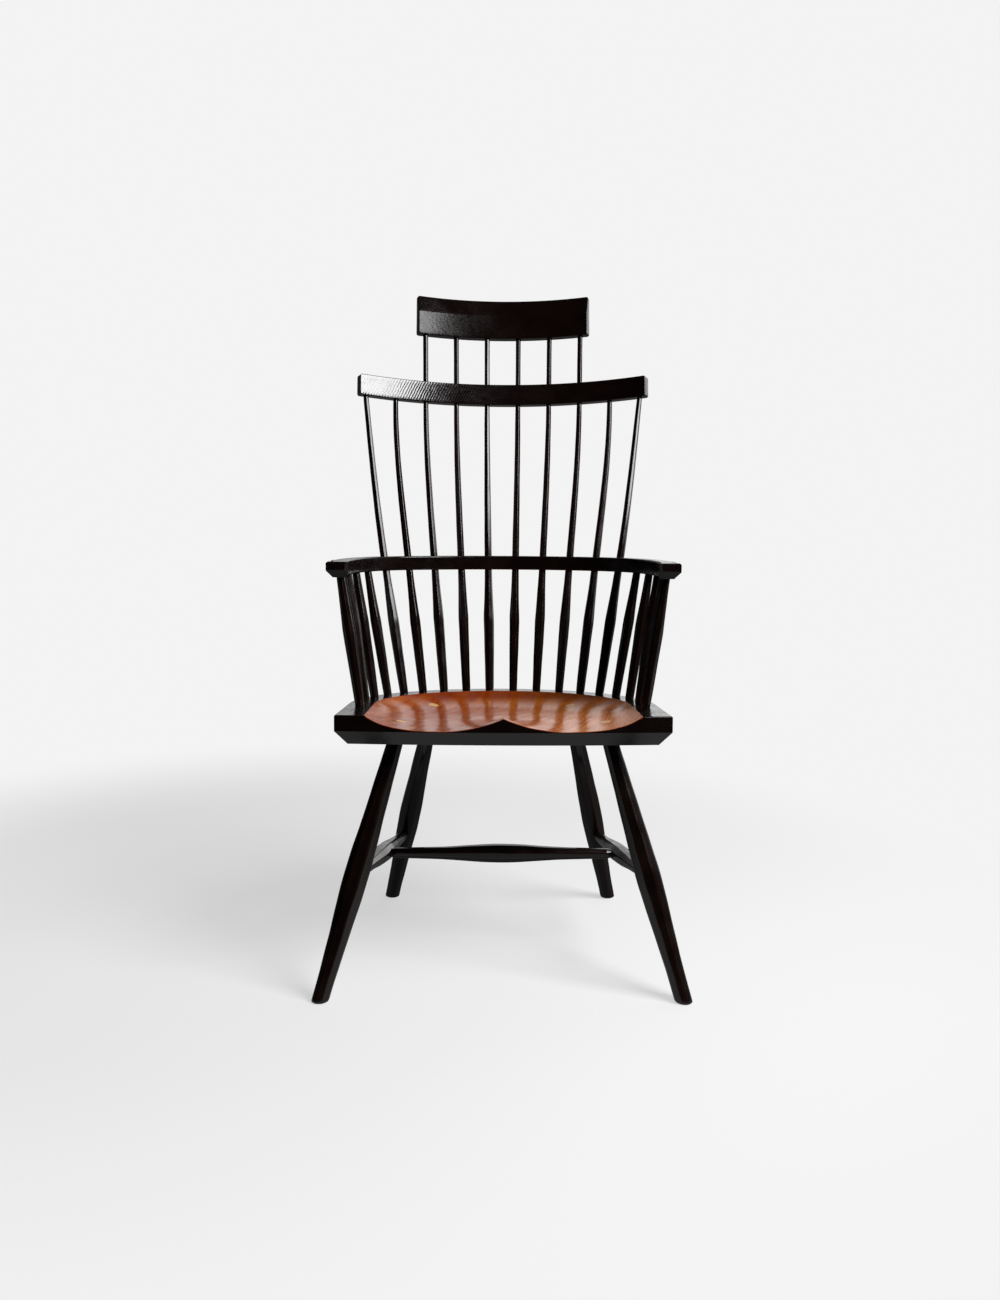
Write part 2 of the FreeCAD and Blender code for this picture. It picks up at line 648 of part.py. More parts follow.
def hand_blank(name, hand):
    """A slip glued to the outside of the arm's end. It thins out towards the back."""
    body = doc.addObject("PartDesign::Body", tidy_name(name + " blank"))
    sketch = sketch_in(body, name + " outline", "XY_Plane")
    front, back = -size("rail_front"), size("hand_length") - size("rail_front")
    offset = size("rail_width") / 2 + size("glue_line")
    side, radius, _ = rail_bends(offset)[0]
    angles = [math.asin((y - side.y) / radius) for y in (front, back)]
    if hand < 0:
        angles = [math.pi - angles[1], math.pi - angles[0]]
    circle = Part.Circle(mirrored(side, hand), Vector(0, 0, 1), radius)
    outer = arm_side(offset + size("hand_proud"), front)
    corners = [Vector(hand * arm_side(offset, front), front, 0), Vector(hand * outer, front, 0),
               Vector(hand * outer, back, 0), Vector(hand * arm_side(offset, back), back, 0)]
    sketch.addGeometry([Part.ArcOfCircle(circle, *angles),
                        Part.LineSegment(corners[0], corners[1]),
                        Part.LineSegment(corners[1], corners[2]),
                        Part.LineSegment(corners[2], corners[3])], False)
    front_end, back_end = (1, 2) if hand > 0 else (2, 1)
    sketch.addConstraint([
        Sketcher.Constraint("Coincident", 0, front_end, 1, 1),
        Sketcher.Constraint("Coincident", 1, 2, 2, 1),
        Sketcher.Constraint("Coincident", 2, 2, 3, 1),
        Sketcher.Constraint("Coincident", 3, 2, 0, back_end),
        Sketcher.Constraint("Horizontal", 1),
        Sketcher.Constraint("Vertical", 2),
        Sketcher.Constraint("Horizontal", 3)])
    bind(sketch, "arm_radius", Sketcher.Constraint("Radius", 0, radius),
         "sizes.rail_side_radius + sizes.rail_width / 2 + sizes.glue_line")
    bind(sketch, "arm_across", Sketcher.Constraint("DistanceX", -1, 1, 0, 3, hand * side.x),
         f"{hand} * ((sizes.seat_width + sizes.rail_spread) / 2 - sizes.rail_side_radius)")
    bind(sketch, "arm_back", Sketcher.Constraint("DistanceY", -1, 1, 0, 3, side.y),
         "sizes.rail_widest")
    bind(sketch, "front", Sketcher.Constraint("DistanceY", -1, 1, 1, 1, front),
         "-sizes.rail_front")
    bind(sketch, "back", Sketcher.Constraint("DistanceY", -1, 1, 3, 1, back),
         "sizes.hand_length - sizes.rail_front")
    bind(sketch, "outside", Sketcher.Constraint("DistanceX", -1, 1, 1, 2, hand * outer),
         f"{hand} * ((sizes.seat_width + sizes.rail_spread) / 2"
         " - sizes.rail_side_radius + sqrt("
         "(sizes.rail_side_radius + sizes.rail_width / 2 + sizes.glue_line"
         " + sizes.hand_proud) ^ 2 - (sizes.rail_front + sizes.rail_widest) ^ 2))")
    pad = body.newObject("PartDesign::Pad", tidy_name(name + " slip"))
    pad.Profile = sketch
    pad.setExpression("Length", "sizes.rail_thickness")
    body.Placement = rail_frame
    return body


def rail_prism(name, low, high):
    """A tool in the rail's frame, ruled between two triangles."""
    wires = [Part.makePolygon(corners + corners[:1]) for corners in (low, high)]
    tool = doc.addObject("Part::Feature", tidy_name(name))
    tool.Shape = Part.makeLoft(wires, True, True)
    tool.Placement = rail_frame
    return tool


def hand_tools(side, hand):
    """The bevels round a hand, and the cut-off corner inside it."""
    bevel, arris, corner = size("hand_bevel"), size("hand_arris"), size("hand_corner")
    past = size("overrun")
    top = size("rail_thickness")
    front = -size("rail_front")
    half = size("rail_width") / 2
    outer = arm_side(half + size("glue_line") + size("hand_proud"), front)
    inner = arm_side(-half, front)

    def along_front(name, level, out, reach):
        """A bevel of some reach along the front, at the rail's underside or its top."""
        ends = []
        for x in (inner - past, outer + past):
            ends.append([Vector(hand * x, front - past, level - out * (reach + past)),
                         Vector(hand * x, front - past, level + out * past),
                         Vector(hand * x, front + reach + past, level + out * past)])
        return rail_prism(f"hand {side} {name}", *ends)

    def along_side(name, level, out, reach):
        """A bevel along the hand's side, which leaves it gradually towards the back."""
        ends = []
        for y, shift in ((front - past, 0), (front + size("hand_length"), reach)):
            x = outer + shift
            ends.append([Vector(hand * (x + past), y, level - out * (reach + past)),
                         Vector(hand * (x + past), y, level + out * past),
                         Vector(hand * (x - reach - past), y, level + out * past)])
        return rail_prism(f"hand {side} {name}", *ends)

    both = [along_front("front bevel", 0, -1, bevel), along_side("side bevel", 0, -1, bevel),
            along_front("front arris", top, 1, arris), along_side("side arris", top, 1, arris)]
    ends = []
    for level, reach in ((-past, corner), (top + past, arris)):
        ends.append([Vector(hand * (inner - past), front + reach + past, level),
                     Vector(hand * (inner - past), front - past, level),
                     Vector(hand * (inner + reach + past), front - past, level)])
    inside = rail_prism(f"hand {side} corner", *ends)
    for tool in both:
        tool_for("arm_rail", tool)
        tool_for(f"hand_{side}", tool)
    tool_for("arm_rail", inside)


blanks = {"arm_rail": rail_blank()}
for side, hand in SIDES:
    blanks[f"hand_{side}"] = hand_blank(f"hand_{side}", hand)
    hand_tools(side, hand)

# Crests


def crest_blank(name, frame, corners, width, radius, depth):
    """A bent board: a section turned about the middle of its bend.

    The corners are expressions: how far behind the middle of the board, and how high."""
    body = doc.addObject("PartDesign::Body", tidy_name(name + " blank"))
    sketch = sketch_in(body, name + " section", "YZ_Plane")
    points = [Vector(evaluate(f"{radius} + {back}"), evaluate(high), 0) for back, high in corners]
    for index, point in enumerate(points):
        sketch.addGeometry(Part.LineSegment(point, points[(index + 1) % len(points)]), False)
    for index, (back, high) in enumerate(corners):
        sketch.addConstraint(Sketcher.Constraint(
            "Coincident", index, 2, (index + 1) % len(points), 1))
        bind(sketch, f"back{index}", Sketcher.Constraint(
            "DistanceX", -1, 1, index, 1, points[index].x), f"{radius} + {back}")
        if high == "0":
            sketch.addConstraint(Sketcher.Constraint("PointOnObject", index, 1, -1))
        else:
            bind(sketch, f"high{index}", Sketcher.Constraint(
                "DistanceY", -1, 1, index, 1, points[index].y), high)
    bend = body.newObject("PartDesign::Revolution", tidy_name(name + " bend"))
    bend.Profile = sketch
    bend.ReferenceAxis = (sketch, ["V_Axis"])
    bend.Midplane = True
    bend.setExpression("Angle", f"2 * asin({width} / 2 / {radius})")
    doc.recompute()
    top = evaluate(depth)
    soften(body, bend, name + " arris", "sizes.crest_arris",
           lambda edge: len(edge.Vertexes) == 2 and (at_height(edge, 0) or at_height(edge, top))
           and abs(edge.Vertexes[0].X + edge.Vertexes[1].X) < size("crest_arris"))
    body.Placement = frame * Placement(Vector(0, -evaluate(radius), 0), Rotation())
    return body


half_crest = "sizes.crest_thickness / 2"
half_comb = "sizes.comb_thickness / 2"
bevel_foot = "sizes.comb_depth - sizes.comb_bevel"
blanks["crest_lower"] = crest_blank("crest_lower", crest_frame, [
    (f"0 - {half_crest}", "0"), (half_crest, "0"),
    (half_crest, "sizes.crest_depth"), (f"0 - {half_crest}", "sizes.crest_depth")],
    "sizes.crest_width", "sizes.crest_radius", "sizes.crest_depth")
blanks["crest_upper"] = crest_blank("crest_upper", comb_frame, [
    (f"0 - {half_comb}", "0"), (half_comb, "0"),
    (half_comb, "sizes.comb_depth"),
    (f"{half_comb} - sizes.comb_top_thickness", "sizes.comb_depth"),
    (f"0 - {half_comb}", bevel_foot)],
    "sizes.comb_width", "sizes.comb_radius", "sizes.comb_depth")

# Spindles


def seat_point(order):
    """A spindle's foot on the deck, counted outwards from the middle, from 0."""
    circle = seat_radius - size("deck_margin")
    angle = (order + 0.5) * 2 * math.asin(size("seat_spacing") / 2 / circle)
    return Vector(circle * math.sin(angle), circle * math.cos(angle), 0)


def crest_point(order, spacing, radius):
    """A spindle's place in a crest's own plan."""
    angle = (order + 0.5) * 2 * math.asin(spacing / 2 / radius)
    return Vector(radius * math.sin(angle), radius * math.cos(angle) - radius, 0)


def bent_path(start, start_way, end, end_way, share):
    """A point and direction of the smooth bend between two ends."""
    length = (end - start).Length
    s = share
    point = (start * (2 * s ** 3 - 3 * s ** 2 + 1) + start_way * (length * (s ** 3 - 2 * s ** 2 + s))
             + end * (3 * s ** 2 - 2 * s ** 3) + end_way * (length * (s ** 3 - s ** 2)))
    slope = (start * (6 * s ** 2 - 6 * s) + start_way * (length * (3 * s ** 2 - 4 * s + 1))
             + end * (6 * s - 6 * s ** 2) + end_way * (length * (3 * s ** 2 - 2 * s)))
    return point, unit(slope)


def pinned(name, host, start, way, diameter, length):
    """A round tenon or through stretch, and its hole in the host with the glue line round it."""
    hole = cylinder(f"{name} hole", start - way * size("glue_line"), way,
                    f"{diameter} + 2 * sizes.glue_line", f"{length} + 2 * sizes.glue_line")
    tool_for(host, hole)
    return cylinder(name, start, way, diameter, length)


def lower_part(name, hand, order):
    """A spindle from its mortise in the seat up to the rail: its solids, and its rail point."""
    foot = seat_frame.multVec(mirrored(seat_point(order), hand))
    plan = mirrored(rail_point((order + 0.5) * size("rail_spacing")), hand)
    half_rail = Vector(0, 0, size("rail_thickness") / 2)
    through = rail_frame.multVec(plan + half_rail)
    way = unit(through - foot)
    deck_normal = seat_frame.Rotation.multVec(Vector(0, 0, 1))
    rail_normal = rail_frame.Rotation.multVec(Vector(0, 0, 1))
    under = through - way * (size("rail_thickness") / 2 / way.dot(rail_normal))
    deep = size("spindle_mortise") / way.dot(deck_normal)
    base = pinned(f"{name} base tenon", "seat", foot - way * deep, way, "sizes.spindle_base",
                  f"{deep / size('spindle_mortise')} * sizes.spindle_mortise"
                  " + sizes.spindle_shoulder")
    start = foot + way * size("spindle_shoulder")
    end = under - way * size("spindle_shoulder")
    stations = []
    for share, swelling in LOWER_PROFILE_SHARES:
        across = (f"sizes.spindle_base + {share} * (sizes.spindle_rail - sizes.spindle_base)"
                  f" + {swelling} * (sizes.spindle_swell - sizes.spindle_base)")
        stations.append((start + (end - start) * share, way, across))
    return [base, shaved(f"{name} lower", stations)], under, way


def short_spindle(side, hand, number):
    """A spindle that ends in a blind hole under the arm."""
    name = f"spindle_short_{side}_{number}"
    solids, under, way = lower_part(name, hand, LONG_PER_SIDE + number - 1)
    solids.append(pinned(f"{name} top tenon", "arm_rail", under - way * size("spindle_shoulder"),
                         way, "sizes.spindle_rail",
                         "sizes.rail_mortise + sizes.spindle_shoulder"))
    sticks[name] = fused(f"{name} stick", solids)
    tools[name] = []


def crest_way(order, hand, place):
    """The direction in which a long spindle enters the lower crest."""
    if order < COMB_PER_SIDE:
        plan = mirrored(crest_point(order, size("comb_spacing"), size("comb_radius")), hand)
        return unit(comb_frame.multVec(plan) - place)
    splay = "crest_inner_splay" if order == COMB_PER_SIDE else "crest_outer_splay"
    outwards = math.tan(math.radians(size(splay)))
    return unit(crest_frame.Rotation.multVec(Vector(hand * outwards, 0, 1)))


def long_spindle(side, hand, order):
    """A spindle through the arm rail to the lower crest, or through that to the upper one."""
    name = f"spindle_long_{side}_{order + 1}"
    solids, under, way = lower_part(name, hand, order)
    shoulder = size("spindle_shoulder")
    crossing = size("rail_thickness") / way.dot(rail_frame.Rotation.multVec(Vector(0, 0, 1)))
    solids.append(pinned(f"{name} rail stretch", "arm_rail", under - way * shoulder, way,
                         "sizes.spindle_rail",
                         f"{crossing / size('rail_thickness')} * sizes.rail_thickness"
                         " + 2 * sizes.spindle_shoulder"))
    start = under + way * (crossing + shoulder)
    plan = mirrored(crest_point(order, size("crest_spacing"), size("crest_radius")), hand)
    place = crest_frame.multVec(plan)
    into = crest_way(order, hand, place)
    end = place - into * shoulder
    stations = []
    for share in UPPER_STATION_SHARES:
        point, slope = bent_path(start, way, end, into, share)
        stations.append((point, slope, "sizes.spindle_rail"
                         f" + {share} * (sizes.spindle_top - sizes.spindle_rail)"))
    solids.append(shaved(f"{name} upper", stations))
    if order < COMB_PER_SIDE:
        solids += comb_stretch(name, hand, order, place, into)
    else:
        solids.append(pinned(f"{name} top tenon", "crest_lower", end, into, "sizes.spindle_top",
                             "sizes.crest_mortise + sizes.spindle_shoulder"))
    sticks[name] = fused(f"{name} stick", solids)
    tools.setdefault(name, [])


def comb_stretch(name, hand, order, place, into):
    """A long spindle's last stretch: through the lower crest and into the upper one."""
    shoulder = size("spindle_shoulder")
    through = pinned(f"{name} crest stretch", "crest_lower", place - into * shoulder, into,
                     "sizes.spindle_top", "sizes.crest_depth + 2 * sizes.spindle_shoulder")
    plan = mirrored(crest_point(order, size("comb_spacing"), size("comb_radius")), hand)
    end = comb_frame.multVec(plan)
    low = place + into * (size("crest_depth") + shoulder)
    high = end - into * shoulder
    facets = shaved(f"{name} comb", [(low, into, "sizes.spindle_top"),
                                     (high, into, "sizes.spindle_top")])
    tenon = pinned(f"{name} comb tenon", "crest_upper", high, into, "sizes.spindle_top",
                   "sizes.comb_mortise + sizes.spindle_shoulder")
    return [through, facets, tenon]


def peg(side, hand):
    """A pin through the upper crest's front and a spindle's tenon."""
    order = PEGGED - 1
    name = f"peg_{side}"
    plan = mirrored(crest_point(order, size("comb_spacing"), size("comb_radius")), hand)
    angle = math.atan2(plan.x, plan.y + size("comb_radius"))
    inward = comb_frame.Rotation.multVec(Vector(math.sin(angle), math.cos(angle), 0))
    middle = comb_frame.multVec(plan + Vector(0, 0, size("peg_height")))
    start = middle - inward * (size("comb_thickness") / 2)
    length = "sizes.comb_thickness / 2 + sizes.peg_reach"
    for host in ("crest_upper", f"spindle_long_{side}_{PEGGED}"):
        tool_for(host, cylinder(f"{name} hole in {host}", start - inward * size("overrun"), inward,
                                "sizes.peg_diameter + 2 * sizes.glue_line",
                                f"{length} + sizes.overrun + sizes.glue_line"))
    nodes[name] = cylinder(name, start, inward, "sizes.peg_diameter", length)


for side, hand in SIDES:
    for order in range(LONG_PER_SIDE):
        long_spindle(side, hand, order)
    for number in range(1, SHORT_PER_SIDE + 1):
        short_spindle(side, hand, number)
    peg(side, hand)

# Every piece gets its holes
nodes["seat"] = cut("seat", seat_board, tools["seat"])
for name, blank in blanks.items():
    nodes[name] = cut(name, blank, tools[name])
for name, stick in sticks.items():
    if tools[name]:
        nodes[name] = cut(name, stick, tools[name])
    else:
        nodes[name] = stick
doc.recompute()


def check(objects):
    """Stops if an object of the document failed, or a piece isn't one sound solid."""
    for thing in doc.Objects:
        if {"Invalid", "Error"} & set(thing.State):
            raise RuntimeError(f"{thing.Name} failed: {thing.State}")
    for node, thing in objects.items():
        shape = thing.Shape
        if shape.isNull() or not shape.isValid():
            raise RuntimeError(f"{node} has no sound shape")
        if len(shape.Solids) != 1:
            raise RuntimeError(f"{node} has {len(shape.Solids)} solids")


check(nodes)

# The origin goes on the floor under the middle of the chair's box
boxes = [thing.Shape.optimalBoundingBox(False) for thing in nodes.values()]
middle_y = (min(box.YMin for box in boxes) + max(box.YMax for box in boxes)) / 2
for thing in nodes.values():
    thing.Placement = Placement(Vector(0, -middle_y, 0), Rotation()) * thing.Placement
doc.recompute()
check(nodes)

os.makedirs("parts", exist_ok=True)
for node, thing in sorted(nodes.items()):
    thing.Label = node
    thing.Shape.exportStep(f"parts/{node}.step")
boxes = [thing.Shape.optimalBoundingBox(False) for thing in nodes.values()]
print("pieces", len(nodes))
for axis in ("X", "Y", "Z"):
    low = min(getattr(box, axis + "Min") for box in boxes)
    high = max(getattr(box, axis + "Max") for box in boxes)
    print(f"{axis} {low:.1f} to {high:.1f}")
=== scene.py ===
# %% [markdown]
# # A comb-back Windsor armchair in black paint
#
# This notebook dresses a chair that was first drawn as solids. The chair is made by hand: a thick
# seat with a scoop, four splayed legs, an H of stretchers, twenty spindles, a bent arm rail and
# two bent crests. Everything is black except the scoop, which is left as bare wood under oil.
#
# The solids give each piece's place and size. Here the sticks get their softened facets, the seat
# its carved surface and the whole chair its paint, light and camera.

# %% Load the solids
import math
import bmesh
import bpy
import numpy as np
from mathutils import Matrix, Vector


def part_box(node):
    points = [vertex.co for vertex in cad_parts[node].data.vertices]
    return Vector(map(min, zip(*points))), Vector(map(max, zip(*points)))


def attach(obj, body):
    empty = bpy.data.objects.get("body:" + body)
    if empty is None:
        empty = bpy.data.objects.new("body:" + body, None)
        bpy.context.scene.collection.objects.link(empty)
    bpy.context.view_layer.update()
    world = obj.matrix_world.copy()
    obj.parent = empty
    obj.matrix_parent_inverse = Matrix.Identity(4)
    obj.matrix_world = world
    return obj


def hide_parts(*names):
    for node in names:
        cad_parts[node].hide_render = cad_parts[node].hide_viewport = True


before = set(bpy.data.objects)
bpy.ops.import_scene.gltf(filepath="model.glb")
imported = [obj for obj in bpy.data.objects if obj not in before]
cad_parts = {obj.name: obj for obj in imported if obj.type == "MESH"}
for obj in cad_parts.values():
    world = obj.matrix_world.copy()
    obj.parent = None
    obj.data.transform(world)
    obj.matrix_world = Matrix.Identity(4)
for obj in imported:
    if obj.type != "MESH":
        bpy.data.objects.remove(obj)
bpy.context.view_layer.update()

# %% [markdown]
# ## Units and frames
#
# A maker thinks in millimetres, and Blender in metres, so sizes are written in millimetres and a
# mesh is scaled once, when it is made. The seat, the rail and the crests each lie in a tilted
# frame of their own. A frame here is a function that turns places in a piece's own plan into
# places in the room.

# %% Units and frames
MM = 0.001
BODY = "root"
SEAT_TILT, RAIL_TILT, LEAN = map(math.radians, (3.66, 1.3, 11.5))
SEAT_RADIUS, SEAT_FRONT, SEAT_ARRIS = 257.0, 166.5, 2.6
SEAT_HEIGHT, RAIL_HEIGHT, CREST_HEIGHT = 444.0, 646.3, 947.0
CREST_BEHIND, COMB_RISE = 93.0, 128.5
DECK_HEIGHT = SEAT_HEIGHT - SEAT_FRONT * math.sin(SEAT_TILT)

# The origin lies under the middle of the chair's box, so its plan is moved along Y until the
# back of the seat lies where the solid has it
seat_back = ((SEAT_RADIUS - SEAT_ARRIS) * math.cos(SEAT_TILT)
             - SEAT_ARRIS * math.sin(SEAT_TILT) + SEAT_ARRIS)
Y_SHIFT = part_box("seat")[1].y / MM - seat_back
print("the chair's plan is moved by", round(Y_SHIFT, 2), "mm")


def tilted(middle, angle):
    """A frame at a middle, turned by minus the angle about X: its y axis dips, z leans back."""
    cosine, sine = math.cos(angle), math.sin(angle)

    def place(local):
        x, y, z = np.moveaxis(np.asarray(local, float), -1, 0)
        return np.stack([x + middle[0], y * cosine + z * sine + middle[1],
                         z * cosine - y * sine + middle[2]], axis=-1)
    return place


def direction_in(place, vector):
    """A direction that is given in a frame, as a direction in the room."""
    return place(vector) - place((0, 0, 0))


def unit(vectors):
    """Vectors at length one. A vector without length stays as it is."""
    vectors = np.asarray(vectors, float)
    return vectors / np.maximum(np.linalg.norm(vectors, axis=-1, keepdims=True), 1e-12)


seat_place = tilted((0, Y_SHIFT, DECK_HEIGHT), SEAT_TILT)
rail_place = tilted((0, Y_SHIFT, RAIL_HEIGHT), RAIL_TILT)
crest_place = tilted((0, Y_SHIFT + SEAT_RADIUS + CREST_BEHIND, CREST_HEIGHT), LEAN)
comb_place = tilted(crest_place((0, 0, COMB_RISE)), LEAN)

# %% [markdown]
# ## From a grid of points to a mesh
#
# Every new piece is a surface with two parameters: rows that run along it and columns that run
# round or across it. The points are worked out as whole arrays, and one function lays quads over
# them. A stick is a closed tube, and each end is closed by a fan round one middle point.

# %% Mesh from arrays


def into_scene(name, data):
    """A new object in the scene that shows a mesh, a light or a camera."""
    made = bpy.data.objects.new(name, data)
    bpy.context.scene.collection.objects.link(made)
    return made


def mesh_object(name, points, faces, materials, choice=None, worn=None, grain=None):
    """An object from points in millimetres. Worn and grain become attributes of the points."""
    mesh = bpy.data.meshes.new(name)
    mesh.from_pydata((np.asarray(points) * MM).tolist(), [], [list(f) for f in faces])
    for material in materials:
        mesh.materials.append(material)
    if choice is not None:
        mesh.polygons.foreach_set("material_index", np.asarray(choice, np.int32))
    if worn is not None:
        attribute = mesh.attributes.new("worn", "FLOAT", "POINT")
        attribute.data.foreach_set("value", np.asarray(worn, np.float32))
    if grain is not None:
        attribute = mesh.attributes.new("grain", "FLOAT_VECTOR", "POINT")
        attribute.data.foreach_set("vector", (np.asarray(grain) * MM).astype(np.float32).ravel())
    mesh.polygons.foreach_set("use_smooth", np.ones(len(mesh.polygons), bool))
    mesh.update()
    return into_scene(name, mesh)


def tube_faces(rows, columns):
    """Quads round a closed tube, and a fan at each end to one extra point."""
    row, column = np.meshgrid(np.arange(rows - 1), np.arange(columns), indexing="ij")
    after = (column + 1) % columns
    quads = np.stack([row * columns + column, row * columns + after,
                      (row + 1) * columns + after, (row + 1) * columns + column], axis=-1)
    ring = np.arange(columns)
    start = np.stack([np.full(columns, rows * columns), (ring + 1) % columns, ring], axis=-1)
    top = (rows - 1) * columns
    end = np.stack([np.full(columns, rows * columns + 1), top + ring,
                    top + (ring + 1) % columns], axis=-1)
    return quads.reshape(-1, 4).tolist() + start.tolist() + end.tolist()


def with_end_points(points):
    """All points of a closed stick: its rows, then the middles of the first and last row."""
    return np.concatenate([points.reshape(-1, 3), points[0].mean(axis=0)[None],
                           points[-1].mean(axis=0)[None]])


def finish_piece(piece, slot, *nodes):
    """A new piece rides on the chair and stands for its solids, which it hides. Its slot is not
    used.
    """
    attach(piece, BODY)
    if nodes:
        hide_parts(*nodes)
    return piece


def cubic(start, start_slope, end, end_slope, length, s):
    """The cubic from a start to an end with the slopes given there, at the share s between."""
    return (start * (2 * s ** 3 - 3 * s ** 2 + 1)
            + start_slope * length * (s ** 3 - 2 * s ** 2 + s)
            + end * (3 * s ** 2 - 2 * s ** 3) + end_slope * length * (s ** 3 - s ** 2))


def smooth_through(at, stations, values):
    """Values of a smooth curve through stations: a cubic on each stretch whose slopes at the
    stations are those of the line through the stations on both sides."""
    stations, values = np.asarray(stations, float), np.asarray(values, float)
    slopes = np.gradient(values, stations)
    at = np.clip(at, stations[0], stations[-1])
    cell = np.clip(np.searchsorted(stations, at) - 1, 0, len(stations) - 2)
    length = stations[cell + 1] - stations[cell]
    return cubic(values[cell], slopes[cell], values[cell + 1], slopes[cell + 1], length,
                 (at - stations[cell]) / length)


def smooth_step(share):
    """0 below 0, 1 above 1, and a soft climb between them: three squares less two cubes."""
    share = np.clip(share, 0, 1)
    return share * share * (3 - 2 * share)


print("a tube of 3 rows and 8 columns has", len(tube_faces(3, 8)), "faces")

# %% [markdown]
# ## Materials
#
# Paint and oil finish the chair. The paint is milk paint over hardwood, burnished and oiled:
# nearly black with a little red-brown in it, and a soft shine that shows every plane the
# drawknife left. The scoop is bare hardwood under oil, warm orange-brown and rather glossy. The
# tops of the leg tenons are end grain, and their wedges are a paler wood.
#
# One small function adds a node. Lengths in a pattern are worked out from real millimetres.

# %% Node helper and colours


def linear(hex_colour):
    """The linear colour of an sRGB hex value: a straight line for the darkest values, and a
    power of 2.4 for all others."""
    value = hex_colour.lstrip("#")
    parts = [int(value[i:i + 2], 16) / 255 for i in (0, 2, 4)]
    return tuple(p / 12.92 if p <= 0.04045 else ((p + 0.055) / 1.055) ** 2.4
                 for p in parts) + (1.0,)


def new_material(name):
    """An empty node material."""
    material = bpy.data.materials.new(name)
    material.use_nodes = True
    material.node_tree.nodes.clear()
    return material


def add_node(tree, kind, settings=None, links=None):
    """Adds a node. Settings go to its properties, or to its sockets by name or number. Links
    join its sockets to other nodes' outputs, or to a node, which gives its first output in use."""
    made = tree.nodes.new(kind)
    for key, value in (settings or {}).items():
        if isinstance(key, str) and hasattr(made, key):
            setattr(made, key, value)
        else:
            made.inputs[key].default_value = value
    for key, source in (links or {}).items():
        if isinstance(source, bpy.types.Node):
            source = next(socket for socket in source.outputs if socket.enabled)
        tree.links.new(source, made.inputs[key])
    return made


def per_metre(millimetres):
    """The scale that makes a pattern's cell so many millimetres wide."""
    return 1 / (millimetres * MM)


print("mid grey as a linear colour:", np.round(linear("#808080"), 4).tolist())

# %% [markdown]
# ### Black paint
#
# The paint is thin, so the tool marks show through it as fine ridges along each piece. Where
# hands and cloth rub, on the corners between the facets, more of the red-brown below shows. The
# function takes the size of the ridges on each axis, in millimetres. A stick carries places of
# its own, with its length on the third axis, so that the ridges follow it through its bends.

# %% Paint
PAINT_DEEP, PAINT_WARM, PAINT_RUBBED = "#090404", "#120806", "#24120b"
PAINT_CLOUD = 38
RIDGE_HEIGHT, CHATTER_HEIGHT = 0.2, 0.25


def paint_material(name, grain, ripple=None, shine=0.17, relief=0.1, ior=1.48,
                   on_stick=False):
    """Black paint over wood. Grain is the size of its ridges on each axis, in millimetres,
    and relief their strength. IOR sets how much the oil over the paint mirrors.
    Ripple is the spacing of a tool's chatter marks, their tilt and their strength. On a
    stick the pattern lies on the stick's own places."""
    material = new_material(name)
    tree = material.node_tree
    if on_stick:
        place = add_node(tree, "ShaderNodeAttribute",
                         {"attribute_name": "grain"}).outputs["Vector"]
    else:
        place = add_node(tree, "ShaderNodeTexCoord").outputs["Object"]
    stretched = add_node(tree, "ShaderNodeMapping",
                         {"Scale": [per_metre(size) for size in grain]}, {"Vector": place})
    ridges = add_node(tree, "ShaderNodeTexNoise",
                      {"Scale": 1.0, "Detail": 2.0, "Roughness": 0.5}, {"Vector": stretched})
    cloud = add_node(tree, "ShaderNodeTexNoise",
                     {"Scale": per_metre(PAINT_CLOUD), "Detail": 2.0}, {"Vector": place})
    rub = add_node(tree, "ShaderNodeAttribute", {"attribute_name": "worn"})
    patch = add_node(tree, "ShaderNodeMath", {"operation": "MULTIPLY"},
                     {0: rub.outputs["Fac"], 1: cloud})
    tint = add_node(tree, "ShaderNodeMix", {"data_type": "RGBA", "A": linear(PAINT_DEEP),
                                            "B": linear(PAINT_WARM)},
                    {"Factor": cloud})
    colour = add_node(tree, "ShaderNodeMix", {"data_type": "RGBA", "B": linear(PAINT_RUBBED)},
                      {"Factor": patch, "A": tint})
    # Both noises stay near a half, so their sum swings about one
    both = add_node(tree, "ShaderNodeMath", {"operation": "ADD"}, {0: ridges, 1: cloud})
    gloss = add_node(tree, "ShaderNodeMapRange",
                     {"From Min": 0.75, "From Max": 1.25, "To Min": shine - 0.05,
                      "To Max": shine + 0.08}, {"Value": both})
    bump = add_node(tree, "ShaderNodeBump", {"Strength": relief, "Distance": RIDGE_HEIGHT * MM},
                    {"Height": ridges})
    if ripple:
        spacing, tilt, strength = ripple
        turned = add_node(tree, "ShaderNodeMapping", {"Rotation": (0, tilt, 0)},
                          {"Vector": place})
        # A wave texture repeats every pi tenths of its scale
        waves = add_node(tree, "ShaderNodeTexWave",
                         {"Scale": per_metre(spacing) * math.pi / 10, "Distortion": 2.2,
                          "Detail": 2.0, "Detail Scale": 1.6}, {"Vector": turned})
        bump = add_node(tree, "ShaderNodeBump",
                        {"Strength": strength, "Distance": CHATTER_HEIGHT * MM},
                        {"Height": waves.outputs["Fac"], "Normal": bump})
    shader = add_node(tree, "ShaderNodeBsdfPrincipled", {"IOR": ior},
                      {"Base Color": colour, "Roughness": gloss, "Normal": bump})
    add_node(tree, "ShaderNodeOutputMaterial", None, {"Surface": shader})
    return material


